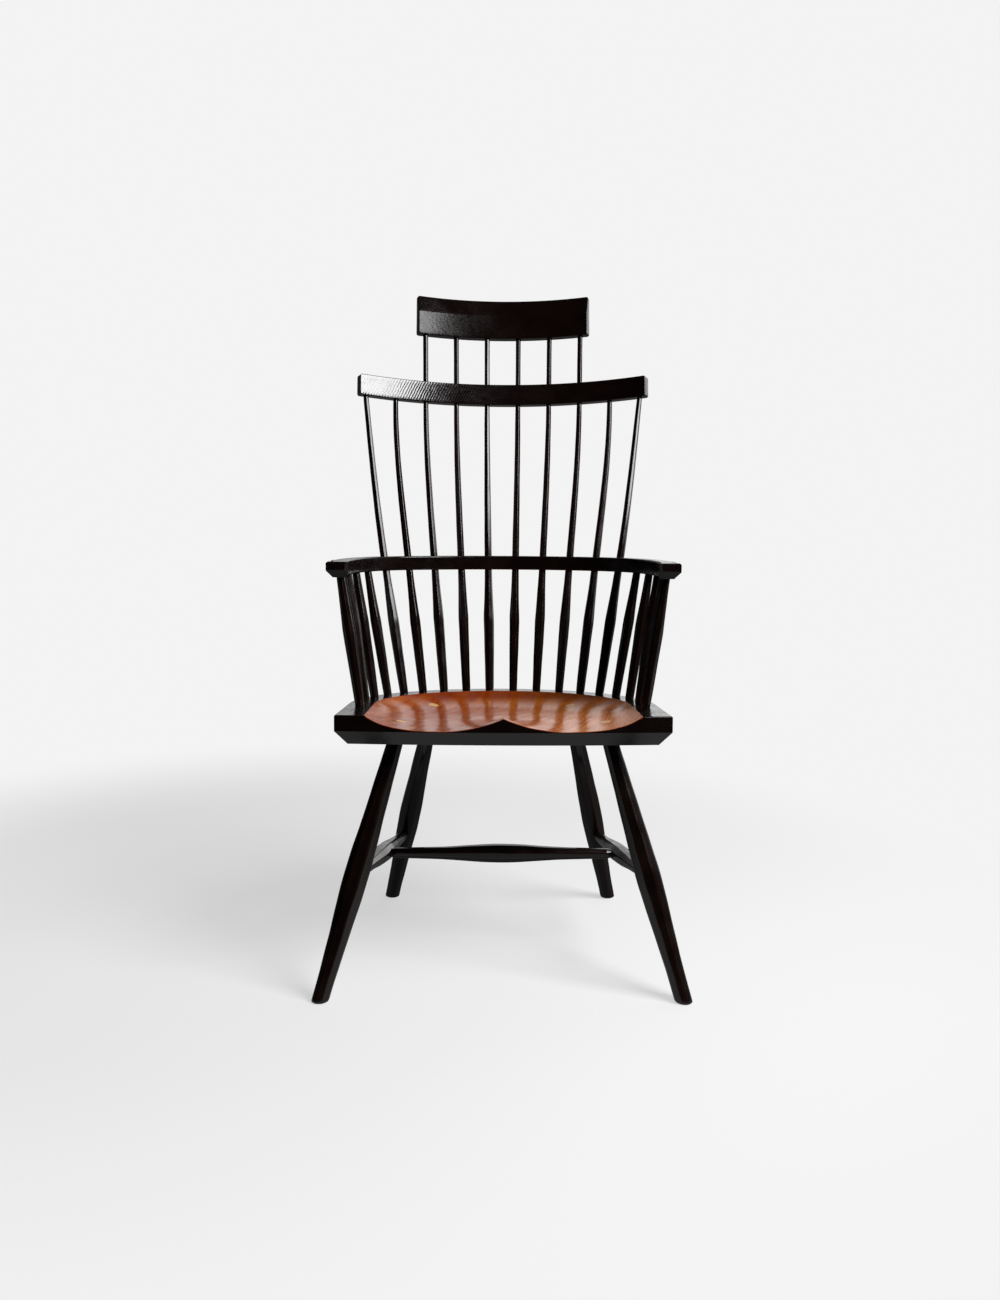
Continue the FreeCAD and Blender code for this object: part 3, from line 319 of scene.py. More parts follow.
# Sticks and hands are shaved along their length, and the seat and the rail are scraped smooth.
# The lower crest keeps the slanting chatter marks of its plane, and the upper one is mottled.
paint_stick = paint_material("black_milk_paint_shaved", (2.6, 2.6, 140), relief=0.08,
                             on_stick=True)
paint_side = paint_material("black_milk_paint_side", (1.8, 45, 1.8), relief=0.08)
paint_crest = paint_material("black_milk_paint_crest", (30, 1.6, 1.6),
                             ripple=(4.6, math.radians(-26), 0.45), shine=0.16, relief=0.3,
                             ior=1.65)
paint_comb = paint_material("black_milk_paint_comb", (6, 1.8, 2.2), shine=0.20, relief=1.0,
                            ior=1.34)
paint_seat = paint_material("black_milk_paint_seat", (2.2, 60, 2.2), shine=0.18, relief=0.06)
paint_rail = paint_material("black_milk_paint_rail", (14, 14, 1.6), shine=0.20, relief=0.15)
print("paints:", sum(m.name.startswith("black_milk") for m in bpy.data.materials))

# %% [markdown]
# ### Oiled wood, end grain and wedge
#
# The scoop's grain runs from front to back, turned fourteen degrees. Pores are short dark dashes
# along the grain, and broad bands of early and late wood lie under them. The ends of the fibres
# drink more oil, and the scoop's steep front and rear walls are made a deeper red: partly that
# real soak, partly painted shade. Its right side is made paler as painted light.

# %% Oiled wood
# Oil soaks in, so the wood mirrors less than it would under varnish
OIL_IOR = 1.33
FIBRE_BUMP = 0.2


def wood_material(name, dark, middle, light, band, fibre, turn, shine, relief, painted_light_right=0.0,
                  soak_and_shade=0.0):
    """Oiled wood. Band and fibre are cell sizes on each axis in millimetres, turn is the
    grain's angle in plan, shine the roughness and relief the height of its fibres. One value
    paints light: how much paler the wood gets towards its right side. The other darkens the
    wood where its surface cuts across the fibres, partly for the end grain's real soak and
    partly as painted shade. Both run from 0 to 1."""
    material = new_material(name)
    tree = material.node_tree
    place = add_node(tree, "ShaderNodeTexCoord").outputs["Object"]
    turned = add_node(tree, "ShaderNodeMapping", {"Rotation": (0, 0, turn)}, {"Vector": place})
    layers = []
    for size, detail in ((band, 2.0), (fibre, 4.0)):
        stretched = add_node(tree, "ShaderNodeMapping", {"Scale": [per_metre(s) for s in size]},
                             {"Vector": turned})
        layers.append(add_node(tree, "ShaderNodeTexNoise",
                               {"Scale": 1.0, "Detail": detail, "Roughness": 0.6},
                               {"Vector": stretched}))
    # Painted light: the wood gets paler towards its right side
    side = add_node(tree, "ShaderNodeSeparateXYZ", None, {"Vector": place})
    pale = add_node(tree, "ShaderNodeMapRange",
                    {"interpolation_type": "SMOOTHSTEP", "From Min": -0.08, "From Max": 0.20,
                     "To Min": 0.0, "To Max": painted_light_right}, {"Value": side.outputs["X"]})
    layer = add_node(tree, "ShaderNodeMath", {"operation": "ADD"}, {0: layers[0], 1: pale})
    broad = add_node(tree, "ShaderNodeValToRGB", None, {"Fac": layer})
    for stop, position, colour in zip((0, 1), (0.2, 1.0), (middle, light)):
        broad.color_ramp.elements[stop].position = position
        broad.color_ramp.elements[stop].color = linear(colour)
    # Pores lie where the fine noise is low
    pores = add_node(tree, "ShaderNodeMapRange", {"From Min": 0.40, "From Max": 0.60,
                                                  "To Min": 0.5, "To Max": 0.0},
                     {"Value": layers[1]})
    # The share of the normal that points along the fibres tells where a wall cuts them. There the
    #     # wood is made darker: partly the end grain's real soak, partly painted shade on the
    #     steep walls
    facing = add_node(tree, "ShaderNodeNewGeometry").outputs["Normal"]
    facing = add_node(tree, "ShaderNodeSeparateXYZ", None, {"Vector": facing})
    cut = add_node(tree, "ShaderNodeMath", {"operation": "ABSOLUTE"}, {0: facing.outputs["Y"]})
    soaked_and_shaded = add_node(tree, "ShaderNodeMapRange", {"From Min": 0.08, "From Max": 0.34,
                                                   "To Min": 0.0, "To Max": soak_and_shade},
                      {"Value": cut})
    deep = add_node(tree, "ShaderNodeMath", {"operation": "MAXIMUM"}, {0: pores, 1: soaked_and_shaded})
    colour = add_node(tree, "ShaderNodeMix", {"data_type": "RGBA", "B": linear(dark)},
                      {"Factor": deep, "A": broad})
    gloss = add_node(tree, "ShaderNodeMapRange", {"From Min": 0.3, "From Max": 0.7,
                                                  "To Min": shine + 0.02, "To Max": shine - 0.01},
                     {"Value": layers[1]})
    bump = add_node(tree, "ShaderNodeBump", {"Strength": FIBRE_BUMP, "Distance": relief * MM},
                    {"Height": layers[1]})
    shader = add_node(tree, "ShaderNodeBsdfPrincipled", {"IOR": OIL_IOR},
                      {"Base Color": colour, "Roughness": gloss, "Normal": bump})
    add_node(tree, "ShaderNodeOutputMaterial", None, {"Surface": shader})
    return material


oiled_seat = wood_material("oiled_hardwood_seat", "#6c1c02", "#8a2b05", "#d87a24",
                           (16, 200, 16), (1.3, 80, 1.3), math.radians(14), 0.19, 0.045,
                           painted_light_right=0.55, soak_and_shade=0.75)
end_grain = wood_material("oiled_end_grain", "#9a6a38", "#e2b070", "#eec48c",
                          (3, 3, 3), (0.5, 0.5, 0.5), 0.0, 0.35, 0.05)
wedge_wood = wood_material("oiled_maple_wedge", "#b88450", "#e8c08c", "#f0d0a0",
                           (6, 3, 6), (0.6, 3, 0.6), 0.0, 0.32, 0.05)
print("woods:", [wood.name for wood in (oiled_seat, end_grain, wedge_wood)])

# %% [markdown]
# ## Shaved sticks
#
# Legs, stretchers and spindles are split wood, shaved to eight flats with a drawknife and a
# spokeshave. No flat is quite the width of its neighbour, and the corners between them are eased.
# A lathe would give round sticks, and a plain octagon looks like a machined bar, so each flat
# gets its own slowly changing distance from the middle, and the corners come out where
# neighbouring flats meet.

# %% Shaved stick
FLATS = 8
FLAT_ANGLE = 2 * math.pi / FLATS
EASE_SHARES = (1 / 3, 2 / 3)
LARGEST_EASE = 0.42
# How far the paint is rubbed at each point of a flat and of the corner behind it
RUBBED = [0.25, 0, 0, 0.25, 1, 1]
UNEVEN = 0.012
# How far before its shoulder a stick starts to turn from eight flats to round
ROUND_AHEAD = 2


def wander(rng, length, rows, amount, shortest=55.0):
    """One slow random curve per flat: four sines of random phase, the shortest first."""
    at = np.linspace(0, length, rows)[:, None, None]
    waves = shortest * np.array([1.0, 1.7, 2.9, 4.8])
    phase = rng.uniform(0, 2 * math.pi, (FLATS, 4))
    return amount * np.sin(2 * math.pi * at / waves + phase).sum(axis=-1) / 2


def octagon_section(apothems, ease, roundness, spin=0.0):
    """Rows of a section with eased corners, as offsets on the stick's own two axes.

    Flat i lies at apothem a from the middle, at the angle i/8 of a turn. Its corner with the next
    flat lies at t = (b - a cos 45) / sin 45 along it, where b is the next flat's apothem. Each
    corner is replaced by a curve that starts a given ease before it and ends as far behind it.
    Two points close to the ends of each flat keep it flat where the light runs over it.
    Roundness blends every row towards a circle of the mean apothem. Spin turns the whole
    section about its middle."""
    angles = np.arange(FLATS) * FLAT_ANGLE + spin
    normal = np.stack([np.cos(angles), np.sin(angles)], axis=-1)
    sideways = np.stack([-np.sin(angles), np.cos(angles)], axis=-1)
    following = np.roll(apothems, -1, axis=1)
    reach = (following - apothems * math.cos(FLAT_ANGLE)) / math.sin(FLAT_ANGLE)
    corner = apothems[..., None] * normal + reach[..., None] * sideways
    before = np.roll(corner, 1, axis=1)
    flat = np.linalg.norm(corner - before, axis=-1, keepdims=True)
    share = np.minimum(ease / np.maximum(flat, 1e-6), LARGEST_EASE)
    start = before + (corner - before) * share
    end = corner - (corner - before) * share
    next_start = np.roll(start, -1, axis=1)
    columns = [start, start * 0.9 + end * 0.1, start * 0.1 + end * 0.9, end]
    for s in EASE_SHARES:
        columns.append((1 - s) ** 2 * end + 2 * s * (1 - s) * corner + s ** 2 * next_start)
    section = np.stack(columns, axis=2).reshape(len(apothems), -1, 2)
    mean = apothems.mean(axis=1)[:, None, None]
    circle = mean * unit(section)
    return section + (circle - section) * np.asarray(roundness)[:, None, None]


def section_axes(directions):
    """The two axes across a stick: X and Y turned by the least turn that lays Z along it."""
    dx, dy, dz = np.moveaxis(directions, -1, 0)
    across = np.stack([1 - dx * dx / (1 + dz), -dx * dy / (1 + dz), -dx], axis=-1)
    beside = np.stack([-dx * dy / (1 + dz), 1 - dy * dy / (1 + dz), -dy], axis=-1)
    return across, beside


def stick_points(centres, directions, section):
    """Points of a stick: each row's middle plus its section on the row's two axes. One
    direction may serve for all rows."""
    across, beside = section_axes(np.broadcast_to(directions, centres.shape))
    return (centres[:, None, :] + section[..., 0:1] * across[:, None, :]
            + section[..., 1:2] * beside[:, None, :])


def shaved_piece(node, points, along, *more):
    """The painted piece that stands for a node: a stick's rows with both ends closed. Its grain
    is a place beside its middle line and along it, counted from where the stick starts."""
    rows, columns, _ = points.shape
    middles = points.mean(axis=1)
    axes = section_axes(unit(middles[-1] - middles[0]))
    beside = points - middles[:, None]
    height = np.broadcast_to(along[:, None], (rows, columns))
    grain = np.stack([beside @ axes[0], beside @ axes[1], height], axis=-1)
    ends = [[0, 0, along[0]], [0, 0, along[-1]]]
    grain = np.concatenate([grain.reshape(-1, 3), ends]) + middles[0]
    made = mesh_object(node + "_shaved", with_end_points(points), tube_faces(rows, columns),
                       [paint_stick, *more], worn=RUBBED * (FLATS * rows) + [0, 0], grain=grain)
    return finish_piece(made, "black_paint", node)


print("a stick's section has", len(RUBBED) * FLATS, "points")

# %% [markdown]
# ## Seat
#
# The seat is a plank with a round back and nearly straight sides. Its scoop is deepest where the
# sitter's weight rests, turns up late and steeply at its rim, and runs out over the front edge on
# both sides of a low ridge, the pommel. A sculpted or remeshed block would blur the rim, so the
# rows of this grid follow the rim itself: the paint's edge is then a true edge of the mesh.
#
# Columns run from the middle line out to the rim and on over the flat deck. Rows run from the
# front edge on the left, round the back, to the front edge on the right.

# %% Seat sizes and floor
SEAT_HALF, SEAT_THICKNESS, FRONT_BOW = 260.5, 47.0, 13.0
BEVEL_HEIGHT, BEVEL_REACH = 22.0, 18.5
SCOOP_MARGIN, SCOOP_DEPTH = 43.0, 24.0
POMMEL_DROP, POMMEL_WIDTH, POMMEL_LENGTH, POMMEL_POWER = 3.2, 106.0, 165.0, 2.2
SCOOP_RADIUS = SEAT_RADIUS - SCOOP_MARGIN
FRONT_RADIUS = SEAT_HALF ** 2 / (2 * FRONT_BOW) + FRONT_BOW / 2


def front_edge(x):
    """The seat's front edge: an arc that bows forward by FRONT_BOW at the middle."""
    return FRONT_RADIUS - SEAT_FRONT - FRONT_BOW - np.sqrt(FRONT_RADIUS ** 2 - x ** 2)


def scoop_floor(x, y):
    """Height of the scoop over the deck: a dish that falls by depth * (1 - share^6) from its rim,
    with a ridge at the front that fades backwards and has hollow flanks."""
    share = np.hypot(x, np.maximum(y, 0)) / SCOOP_RADIUS
    dish = np.where(share < 1, 1 - share ** 6, 6 * (1 - share))
    along = 1 - (y + SEAT_FRONT + FRONT_BOW) / POMMEL_LENGTH
    across = np.maximum(1 - np.abs(x) / POMMEL_WIDTH, 0) ** POMMEL_POWER
    ridge = (SCOOP_DEPTH - POMMEL_DROP) * across * smooth_step(along)
    return ridge - SCOOP_DEPTH * dish


def scrape(x, y):
    """Waves that a scraper leaves in the scoop: a winding one across the seat, one from front
    to back and a finer slanting one, a fifth of a millimetre high where they meet."""
    return (0.10 * np.sin(x / 9.0 + 1.3 * np.sin(y / 31.0))
            + 0.07 * np.sin(y / 13.0 + x / 37.0 + 0.8) + 0.05 * np.sin(x / 4.7 - y / 8.3))


print("the front edge is an arc of", round(FRONT_RADIUS), "mm")

# %% Seat top
SIDE_ROWS, BACK_ROWS, SCOOP_COLUMNS, DECK_COLUMNS = 64, 120, 84, 12
ROW_CROWDING, COLUMN_CROWDING = 1.4, 0.8
SCRAPE_FADE = 14
LIP_LEAST, LIP_GROWTH, LIP_GROWS_FROM, LIP_GROWS_OVER = 1.1, 1.3, 200, 30


def lip_radius(x):
    """How far the front edge is rounded over: little on the scoop's lip, and from there it
    grows by a smooth step to the deck."""
    return LIP_LEAST + LIP_GROWTH * smooth_step((np.abs(x) - LIP_GROWS_FROM) / LIP_GROWS_OVER)


def seat_top():
    """The grid of the seat's top in its own plan: scoop columns, then deck columns.

    A row is a ray: its reach times the cosine and sine of its angle. In front of the seat's
    middle the angle stays at the side, and the ray is moved forward by its share of the way to
    the front edge. Rows crowd towards that edge, and columns towards the scoop's rim."""
    forward = 1 - np.linspace(0, 1, SIDE_ROWS, endpoint=False) ** ROW_CROWDING
    turn = np.linspace(0, math.pi, BACK_ROWS)
    tau = np.concatenate([forward, np.zeros(BACK_ROWS), forward[::-1]])
    angle = np.concatenate([np.zeros(SIDE_ROWS), turn, np.full(SIDE_ROWS, math.pi)])
    spread = np.linspace(0, 1, SCOOP_COLUMNS + 1) ** COLUMN_CROWDING
    inner = spread * SCOOP_RADIUS
    edge = SEAT_RADIUS - SEAT_ARRIS + np.where(np.sin(angle) < 1e-6,
                                               (SEAT_HALF - SEAT_RADIUS) * tau, 0)
    deck = np.linspace(0, 1, DECK_COLUMNS + 1)[1:]
    outer = SCOOP_RADIUS + (edge[:, None] - SCOOP_RADIUS) * deck
    reach = np.concatenate([np.broadcast_to(inner, (len(tau), len(inner))), outer], axis=1)
    x = reach * np.cos(angle)[:, None]
    near = front_edge(np.abs(reach)) + lip_radius(reach)
    y = reach * np.sin(angle)[:, None] + tau[:, None] * near
    inside = np.arange(reach.shape[1]) < SCOOP_COLUMNS
    fade = smooth_step((SCOOP_RADIUS - reach) / SCRAPE_FADE)
    z = np.where(inside, scoop_floor(x, y) + fade * scrape(x, y), 0.0)
    return x, y, z


print("the top's grid:", seat_top()[0].shape)

# %% Seat walls
LIP_STEPS = np.linspace(0, math.pi / 2, 6)[1:]
BEVEL_SHARES, UNDER_SHARES = (0.04, 0.35, 0.65, 0.96, 1.0), (0.03, 0.3, 0.6, 0.85)


def ring_of(grid):
    """The top's outer edge as one loop: along the front, up the left side, round and back."""
    return np.concatenate([grid[0, :-1], grid[:, -1], grid[-1, -2:0:-1]])


def seat_wall(x, y, z):
    """Rows below the top's edge: a rounded lip, the upright side, the bevel and the underside."""
    rx, ry, rz = ring_of(x), ring_of(y), ring_of(z)
    columns = x.shape[1]
    front = np.zeros(len(rx), bool)
    front[:columns - 1] = True
    front[-(columns - 1):] = True
    radial = unit(np.stack([rx, np.maximum(ry, 0)], axis=-1))
    normal = np.where(front[:, None], np.array([0.0, -1.0]), radial)
    rounding = np.where(front, lip_radius(rx), SEAT_ARRIS)
    # A corner's own point turns its normal half way between front and side
    for index in (columns - 1, len(rx) - columns):
        normal[index] = unit(np.array([np.sign(rx[index]), -1.0])) * math.sqrt(2)
        rounding[index] = lip_radius(SEAT_HALF)
    rows = []
    for angle in LIP_STEPS:
        out = rounding * math.sin(angle)
        rows.append(np.stack([rx + normal[:, 0] * out, ry + normal[:, 1] * out,
                              rz - rounding * (1 - math.cos(angle))], axis=-1))
    rim = rows[-1]
    side_low = -(SEAT_THICKNESS - BEVEL_HEIGHT)
    foot = np.minimum(side_low, rim[:, 2] - 0.1)
    for share in (0.5, 1.0):
        low = rim.copy()
        low[:, 2] += (foot - rim[:, 2]) * share
        rows.append(low)
    inset = (SEAT_HALF - BEVEL_REACH) / SEAT_HALF
    forward = (SEAT_FRONT - BEVEL_REACH) / SEAT_FRONT
    inner = np.stack([
        np.where(ry < 0, rim[:, 0] * inset, rim[:, 0] - radial[:, 0] * BEVEL_REACH),
        np.where(front, rim[:, 1] + BEVEL_REACH,
                 np.where(ry < 0, rim[:, 1] * forward, rim[:, 1] - radial[:, 1] * BEVEL_REACH)),
        np.full(len(rx), -SEAT_THICKNESS)], axis=-1)
    wall = rows[-1]
    for share in BEVEL_SHARES:
        rows.append(wall + (inner - wall) * share)
    middle = np.array([0.0, 0.0, -SEAT_THICKNESS])
    for share in UNDER_SHARES:
        rows.append(inner + (middle - inner) * share)
    return np.stack(rows), middle


print("rows below the top's edge:", len(seat_wall(*seat_top())[0]))

# %% Seat mesh
LIP_ROWS = 4
CREASE = math.radians(28)


def build_seat():
    """The whole seat as one closed mesh, with the scoop and its lip in bare wood."""
    x, y, z = seat_top()
    top = np.stack([x, y, z], axis=-1)
    rows, columns = x.shape
    row, column = np.meshgrid(np.arange(rows - 1), np.arange(columns - 1), indexing="ij")
    here = row * columns + column
    top_faces = np.stack([here, here + 1, here + columns + 1, here + columns], axis=-1)
    top_choice = np.where(column < SCOOP_COLUMNS, 1, 0)
    walls, middle = seat_wall(x, y, z)
    index = np.arange(rows * columns).reshape(rows, columns)
    wall_index = np.arange(walls.shape[0] * walls.shape[1]).reshape(walls.shape[:2])
    loops = np.concatenate([ring_of(index)[None], rows * columns + wall_index])
    after = np.roll(loops, -1, axis=1)
    wall_faces = np.stack([loops[:-1], loops[1:], after[1:], after[:-1]], axis=-1)
    ring_x = ring_of(x)
    count = walls.shape[1]
    lip = (np.arange(count) < columns - 1) | (np.arange(count) >= count - columns + 1)
    lip &= np.abs(ring_x) < SCOOP_RADIUS
    wall_choice = np.zeros(wall_faces.shape[:2], int)
    wall_choice[:LIP_ROWS, lip] = 1
    pole = rows * columns + walls.shape[0] * count
    fan = np.stack([loops[-1], np.full(count, pole), after[-1]], axis=-1)
    points = np.concatenate([top.reshape(-1, 3), walls.reshape(-1, 3), middle[None]])
    faces = (top_faces.reshape(-1, 4).tolist() + wall_faces.reshape(-1, 4).tolist()
             + fan.tolist())
    choice = np.concatenate([top_choice.ravel(), wall_choice.ravel(), np.zeros(count, int)])
    made = mesh_object("seat_carved", seat_place(points), faces, [paint_seat, oiled_seat],
                       choice)
    # The rows meet on the middle line and at one pole, so their doubles are merged there
    work = bmesh.new()
    work.from_mesh(made.data)
    bmesh.ops.remove_doubles(work, verts=work.verts, dist=0.01 * MM)
    bmesh.ops.recalc_face_normals(work, faces=work.faces)
    for edge in work.edges:
        if len(edge.link_faces) == 2 and edge.calc_face_angle() > CREASE:
            edge.smooth = False
    work.to_mesh(made.data)
    work.free()
    return made


seat = finish_piece(build_seat(), "oiled_seat_wood", "seat")
print("seat:", len(seat.data.vertices), "points", [round(v, 4) for v in seat.dimensions])

# %% [markdown]
# ## Legs
#
# A leg is thickest where the stretcher enters and thins to its foot and to its tenon. The feet
# are sawn level, so the lowest rows are sheared until they lie flat on the floor. The tenon is
# round, passes through the seat and is cut flush with the scoop, where its end grain shows.

# %% Axes of the legs
SIDES = (("left", 1), ("right", -1))
# Where a leg enters the deck, and its splay outwards and rake backwards in degrees
LEG_PLACES = {"front": (SEAT_HALF - 102.9, 85.0 - SEAT_FRONT, 15.9, -15.6),
              "rear": (SEAT_HALF - 142.8, SEAT_RADIUS - 139.5, 12.3, 21.8)}
SLIDES = 12


def leg_axis(end, hand):
    """A leg's place on the deck, and its direction upwards."""
    x, y, splay, rake = LEG_PLACES[end]
    top = seat_place((hand * x, y, 0))
    down = np.array([hand * math.tan(math.radians(splay)), math.tan(math.radians(rake)), -1])
    return top, unit(-down)


def at_level(axis, height):
    """The point of an axis at a height above the floor."""
    top, direction = axis
    return top + direction * ((height - top[2]) / direction[2])


def onto_scoop(points, direction, proud):
    """Slides points along a direction until they stand a little proud of the scoop's floor.

    The height over the floor is worked out again after each slide, and a few slides settle it."""
    cosine, sine = math.cos(SEAT_TILT), math.sin(SEAT_TILT)
    for _ in range(SLIDES):
        y, z = points[..., 1] - Y_SHIFT, points[..., 2] - DECK_HEIGHT
        local_y, local_z = y * cosine - z * sine, z * cosine + y * sine
        above = local_z - scoop_floor(points[..., 0], local_y) - proud
        points = points - direction * (above / direction[2])[..., None]
    return points


for end in LEG_PLACES:
    print(end, "leg leans by", round(math.degrees(math.acos(leg_axis(end, 1)[1][2])), 1),
          "degrees")

# %% Legs
LEG_FOOT, LEG_ANKLE, LEG_SWELL, LEG_NECK, LEG_TENON = 26.6, 30.8, 38.5, 25.2, 17.6
LEG_SWELL_HEIGHT, LEG_SHOULDER, LEG_EASE, LEG_SEED = 178.0, 6.5, 2.6, 11
LEG_FADE, LEG_ROUND_OVER = 30, 4
FOOT_ROUNDING, FOOT_LEVEL, FOOT_SOFT, FOOT_SOFT_HEIGHT = 4.5, 60, 0.35, 20
LEG_ROWS, TENON_ROWS = 110, np.array([3.0, 8.0, 20.0])
# The last rings of a tenon: their size, and how proud of the scoop they stand
TENON_RINGS = ((1.0, -4.0), (1.0, -0.05), (0.985, 0.14), (0.95, 0.2), (0.6, 0.2), (0.25, 0.2))
CAP_RINGS = 4


def build_leg(end, side, hand):
    """One leg: levelled foot, eight flats, round tenon and an end-grain cap on the scoop."""
    axis = leg_axis(end, hand)
    top, up = axis
    drop = SEAT_THICKNESS / up.dot(direction_in(seat_place, (0, 0, 1))) + LEG_SHOULDER
    foot = at_level(axis, 0)
    swell = np.linalg.norm(at_level(axis, LEG_SWELL_HEIGHT) - foot)
    shoulder = np.linalg.norm(top - foot) - drop
    stations = [0, LEG_FOOT, swell / 2, swell, (swell + shoulder) / 2, shoulder]
    widths = [LEG_FOOT, LEG_FOOT, LEG_ANKLE, LEG_SWELL, (LEG_SWELL + LEG_NECK) / 2, LEG_NECK]
    angles = np.linspace(0, math.pi / 2, 6)
    low = FOOT_ROUNDING * (1 - np.sin(angles))[::-1]
    at = np.concatenate([low, np.linspace(FOOT_ROUNDING, shoulder, LEG_ROWS)[1:],
                         shoulder + TENON_ROWS])
    tenon = LEG_NECK + (LEG_TENON - LEG_NECK) * (at - shoulder) / drop
    across = np.where(at < shoulder, smooth_through(at, stations, widths), tenon)
    rng = np.random.default_rng(LEG_SEED + 3 * (end == "rear") + (hand > 0))
    # A flat's own distance wanders by a hundredth or two, less and less towards the shoulder
    fade = smooth_step(1 - (at - shoulder + LEG_FADE) / LEG_FADE)[:, None]
    apothems = across[:, None] / 2 * (1 + wander(rng, at[-1], len(at), UNEVEN) * fade)
    apothems[:len(low)] -= FOOT_ROUNDING * (1 - np.cos(angles))[::-1, None]
    round_top = smooth_step((at - shoulder + ROUND_AHEAD) / LEG_ROUND_OVER)
    round_foot = FOOT_SOFT * smooth_step(1 - at / FOOT_SOFT_HEIGHT)
    section = octagon_section(apothems, LEG_EASE, np.maximum(round_top, round_foot))
    centres = foot + up * at[:, None]
    points = stick_points(centres, up, section)
    # Near the floor each row is sheared along the leg until it lies level
    level = smooth_step(1 - (at - FOOT_ROUNDING) / FOOT_LEVEL)[:, None]
    rise = points[..., 2] - centres[:, None, 2]
    points = points - up * (rise * level / up[2])[..., None]
    points[..., 2] -= points[0, :, 2].mean()
    # The tenon's last rows lie on the scoop: a tiny rounding, then rings towards the middle
    tip = octagon_section(np.full((1, FLATS), LEG_TENON / 2), LEG_EASE, [1.0])
    rings = [onto_scoop(stick_points(top[None], up, tip * scale)[0], up, proud)
             for scale, proud in TENON_RINGS]
    points = np.concatenate([points, np.stack(rings)])
    along = np.concatenate([at, np.full(len(rings), at[-1] + 1)])
    made = shaved_piece(f"leg_{end}_{side}", points, along, end_grain)
    choice = np.zeros(len(made.data.polygons), np.int32)
    count, columns, _ = points.shape
    choice[(count - 1 - CAP_RINGS) * columns:(count - 1) * columns] = 1
    choice[-columns:] = 1
    made.data.polygons.foreach_set("material_index", choice)
    return axis


leg_axes = {(end, side): build_leg(end, side, hand)
            for end in LEG_PLACES for side, hand in SIDES}
print("legs:", len(leg_axes))

# %% [markdown]
# ## Stretchers
#
# Two stretchers tie each front leg to the rear leg behind it, and a third ties the two. They
# swell in the middle and end in round tenons.

# %% Stretchers
STRETCHER_END, STRETCHER_SWELL, STRETCHER_TENON = 17.0, 31.0, 15.0
STRETCHER_SHOULDER, STRETCHER_EASE, STRETCHER_SEED = 3.8, 1.9, 31
STRETCHER_FRONT, STRETCHER_REAR, STRETCHER_ROWS = 184.0, 143.0, 90
STRETCHER_THIN_OVER, STRETCHER_ROUND_OVER = 1.5, 3
SWELL_AT, SWELL_SHARES = [0, 0.22, 0.5, 0.78, 1], [0, 0.28, 1, 0.28, 0]


def build_stretcher(node, first, last, half, seed):
    """A shaved stretcher from one axis to another. Half is the reach to the other's skin."""
    length = np.linalg.norm(last - first)
    way = unit(last - first)
    start = half + STRETCHER_SHOULDER
    end = length - start
    at = np.concatenate([np.linspace(0, start - 1, 4), np.linspace(start, end, STRETCHER_ROWS),
                         np.linspace(end + 1, length, 4)])
    share = np.clip((at - start) / (end - start), 0, 1)
    swelling = smooth_through(share, SWELL_AT, SWELL_SHARES)
    outside = np.maximum(start - at, at - end)
    across = STRETCHER_END + swelling * (STRETCHER_SWELL - STRETCHER_END)
    thinner = smooth_step(outside / STRETCHER_THIN_OVER)
    across = across - (STRETCHER_END - STRETCHER_TENON) * thinner
    uneven = wander(np.random.default_rng(seed), length, len(at), UNEVEN)
    section = octagon_section(across[:, None] / 2 * (1 + uneven), STRETCHER_EASE,
                              smooth_step((outside + ROUND_AHEAD) / STRETCHER_ROUND_OVER))
    return shaved_piece(node, stick_points(first + way * at[:, None], way, section), at)


side_middles = []
for side, hand in SIDES:
    front = at_level(leg_axes["front", side], STRETCHER_FRONT)
    rear = at_level(leg_axes["rear", side], STRETCHER_REAR)
    build_stretcher(f"stretcher_{side}", front, rear, LEG_SWELL / 2, STRETCHER_SEED + hand)
    side_middles.append((front + rear) / 2)
build_stretcher("stretcher_middle", *side_middles, STRETCHER_SWELL / 2, STRETCHER_SEED + 4)
print("middle stretcher:", round(math.dist(*side_middles)), "mm from axis to axis")

# %% [markdown]
# ## Spindles
#
# A spindle is thickest two thirds of the way from the seat to the rail. The spokeshave works from
# that place down and up, so its flats change direction there in a soft peak, each flat at a
# height of its own. Above the rail the long spindles bend gently backwards to the crests. Here
# each spindle is one stick from inside the seat to inside the last piece that it enters.

# %% Centre line of the rail
RAIL_THICKNESS, RAIL_SPACING, RAIL_WIDTH = 25.5, 51.4, 537.4
ARM_RADIUS, BACK_RADIUS, CORNER_RADIUS = 500.0, 365.0, 165.0
ARM_MIDDLE = np.array([RAIL_WIDTH / 2 - ARM_RADIUS, 18.0])
BACK_MIDDLE = np.array([0.0, SEAT_RADIUS + 29.0 - BACK_RADIUS])


def corner_bend():
    """The middle of the arc that touches the arm's arc and the back's, by two circles that
    cross, and the angles where it meets them."""
    to_arm, to_back = ARM_RADIUS - CORNER_RADIUS, BACK_RADIUS - CORNER_RADIUS
    apart = BACK_MIDDLE - ARM_MIDDLE
    gap = np.linalg.norm(apart)
    along = (to_arm ** 2 - to_back ** 2 + gap ** 2) / (2 * gap)
    across = math.sqrt(to_arm ** 2 - along ** 2)
    middle = ARM_MIDDLE + apart / gap * along + np.array([-apart[1], apart[0]]) / gap * across
    first = math.atan2(*(middle - ARM_MIDDLE)[::-1])
    second = math.atan2(*(middle - BACK_MIDDLE)[::-1])
    return middle, first, second


CORNER, ARM_END, BACK_END = corner_bend()
# Each arc from the middle of the back outwards: its middle, its radius and where it ends
ARCS = ((BACK_MIDDLE, BACK_RADIUS, BACK_END), (CORNER, CORNER_RADIUS, ARM_END),
        (ARM_MIDDLE, ARM_RADIUS, -math.pi))


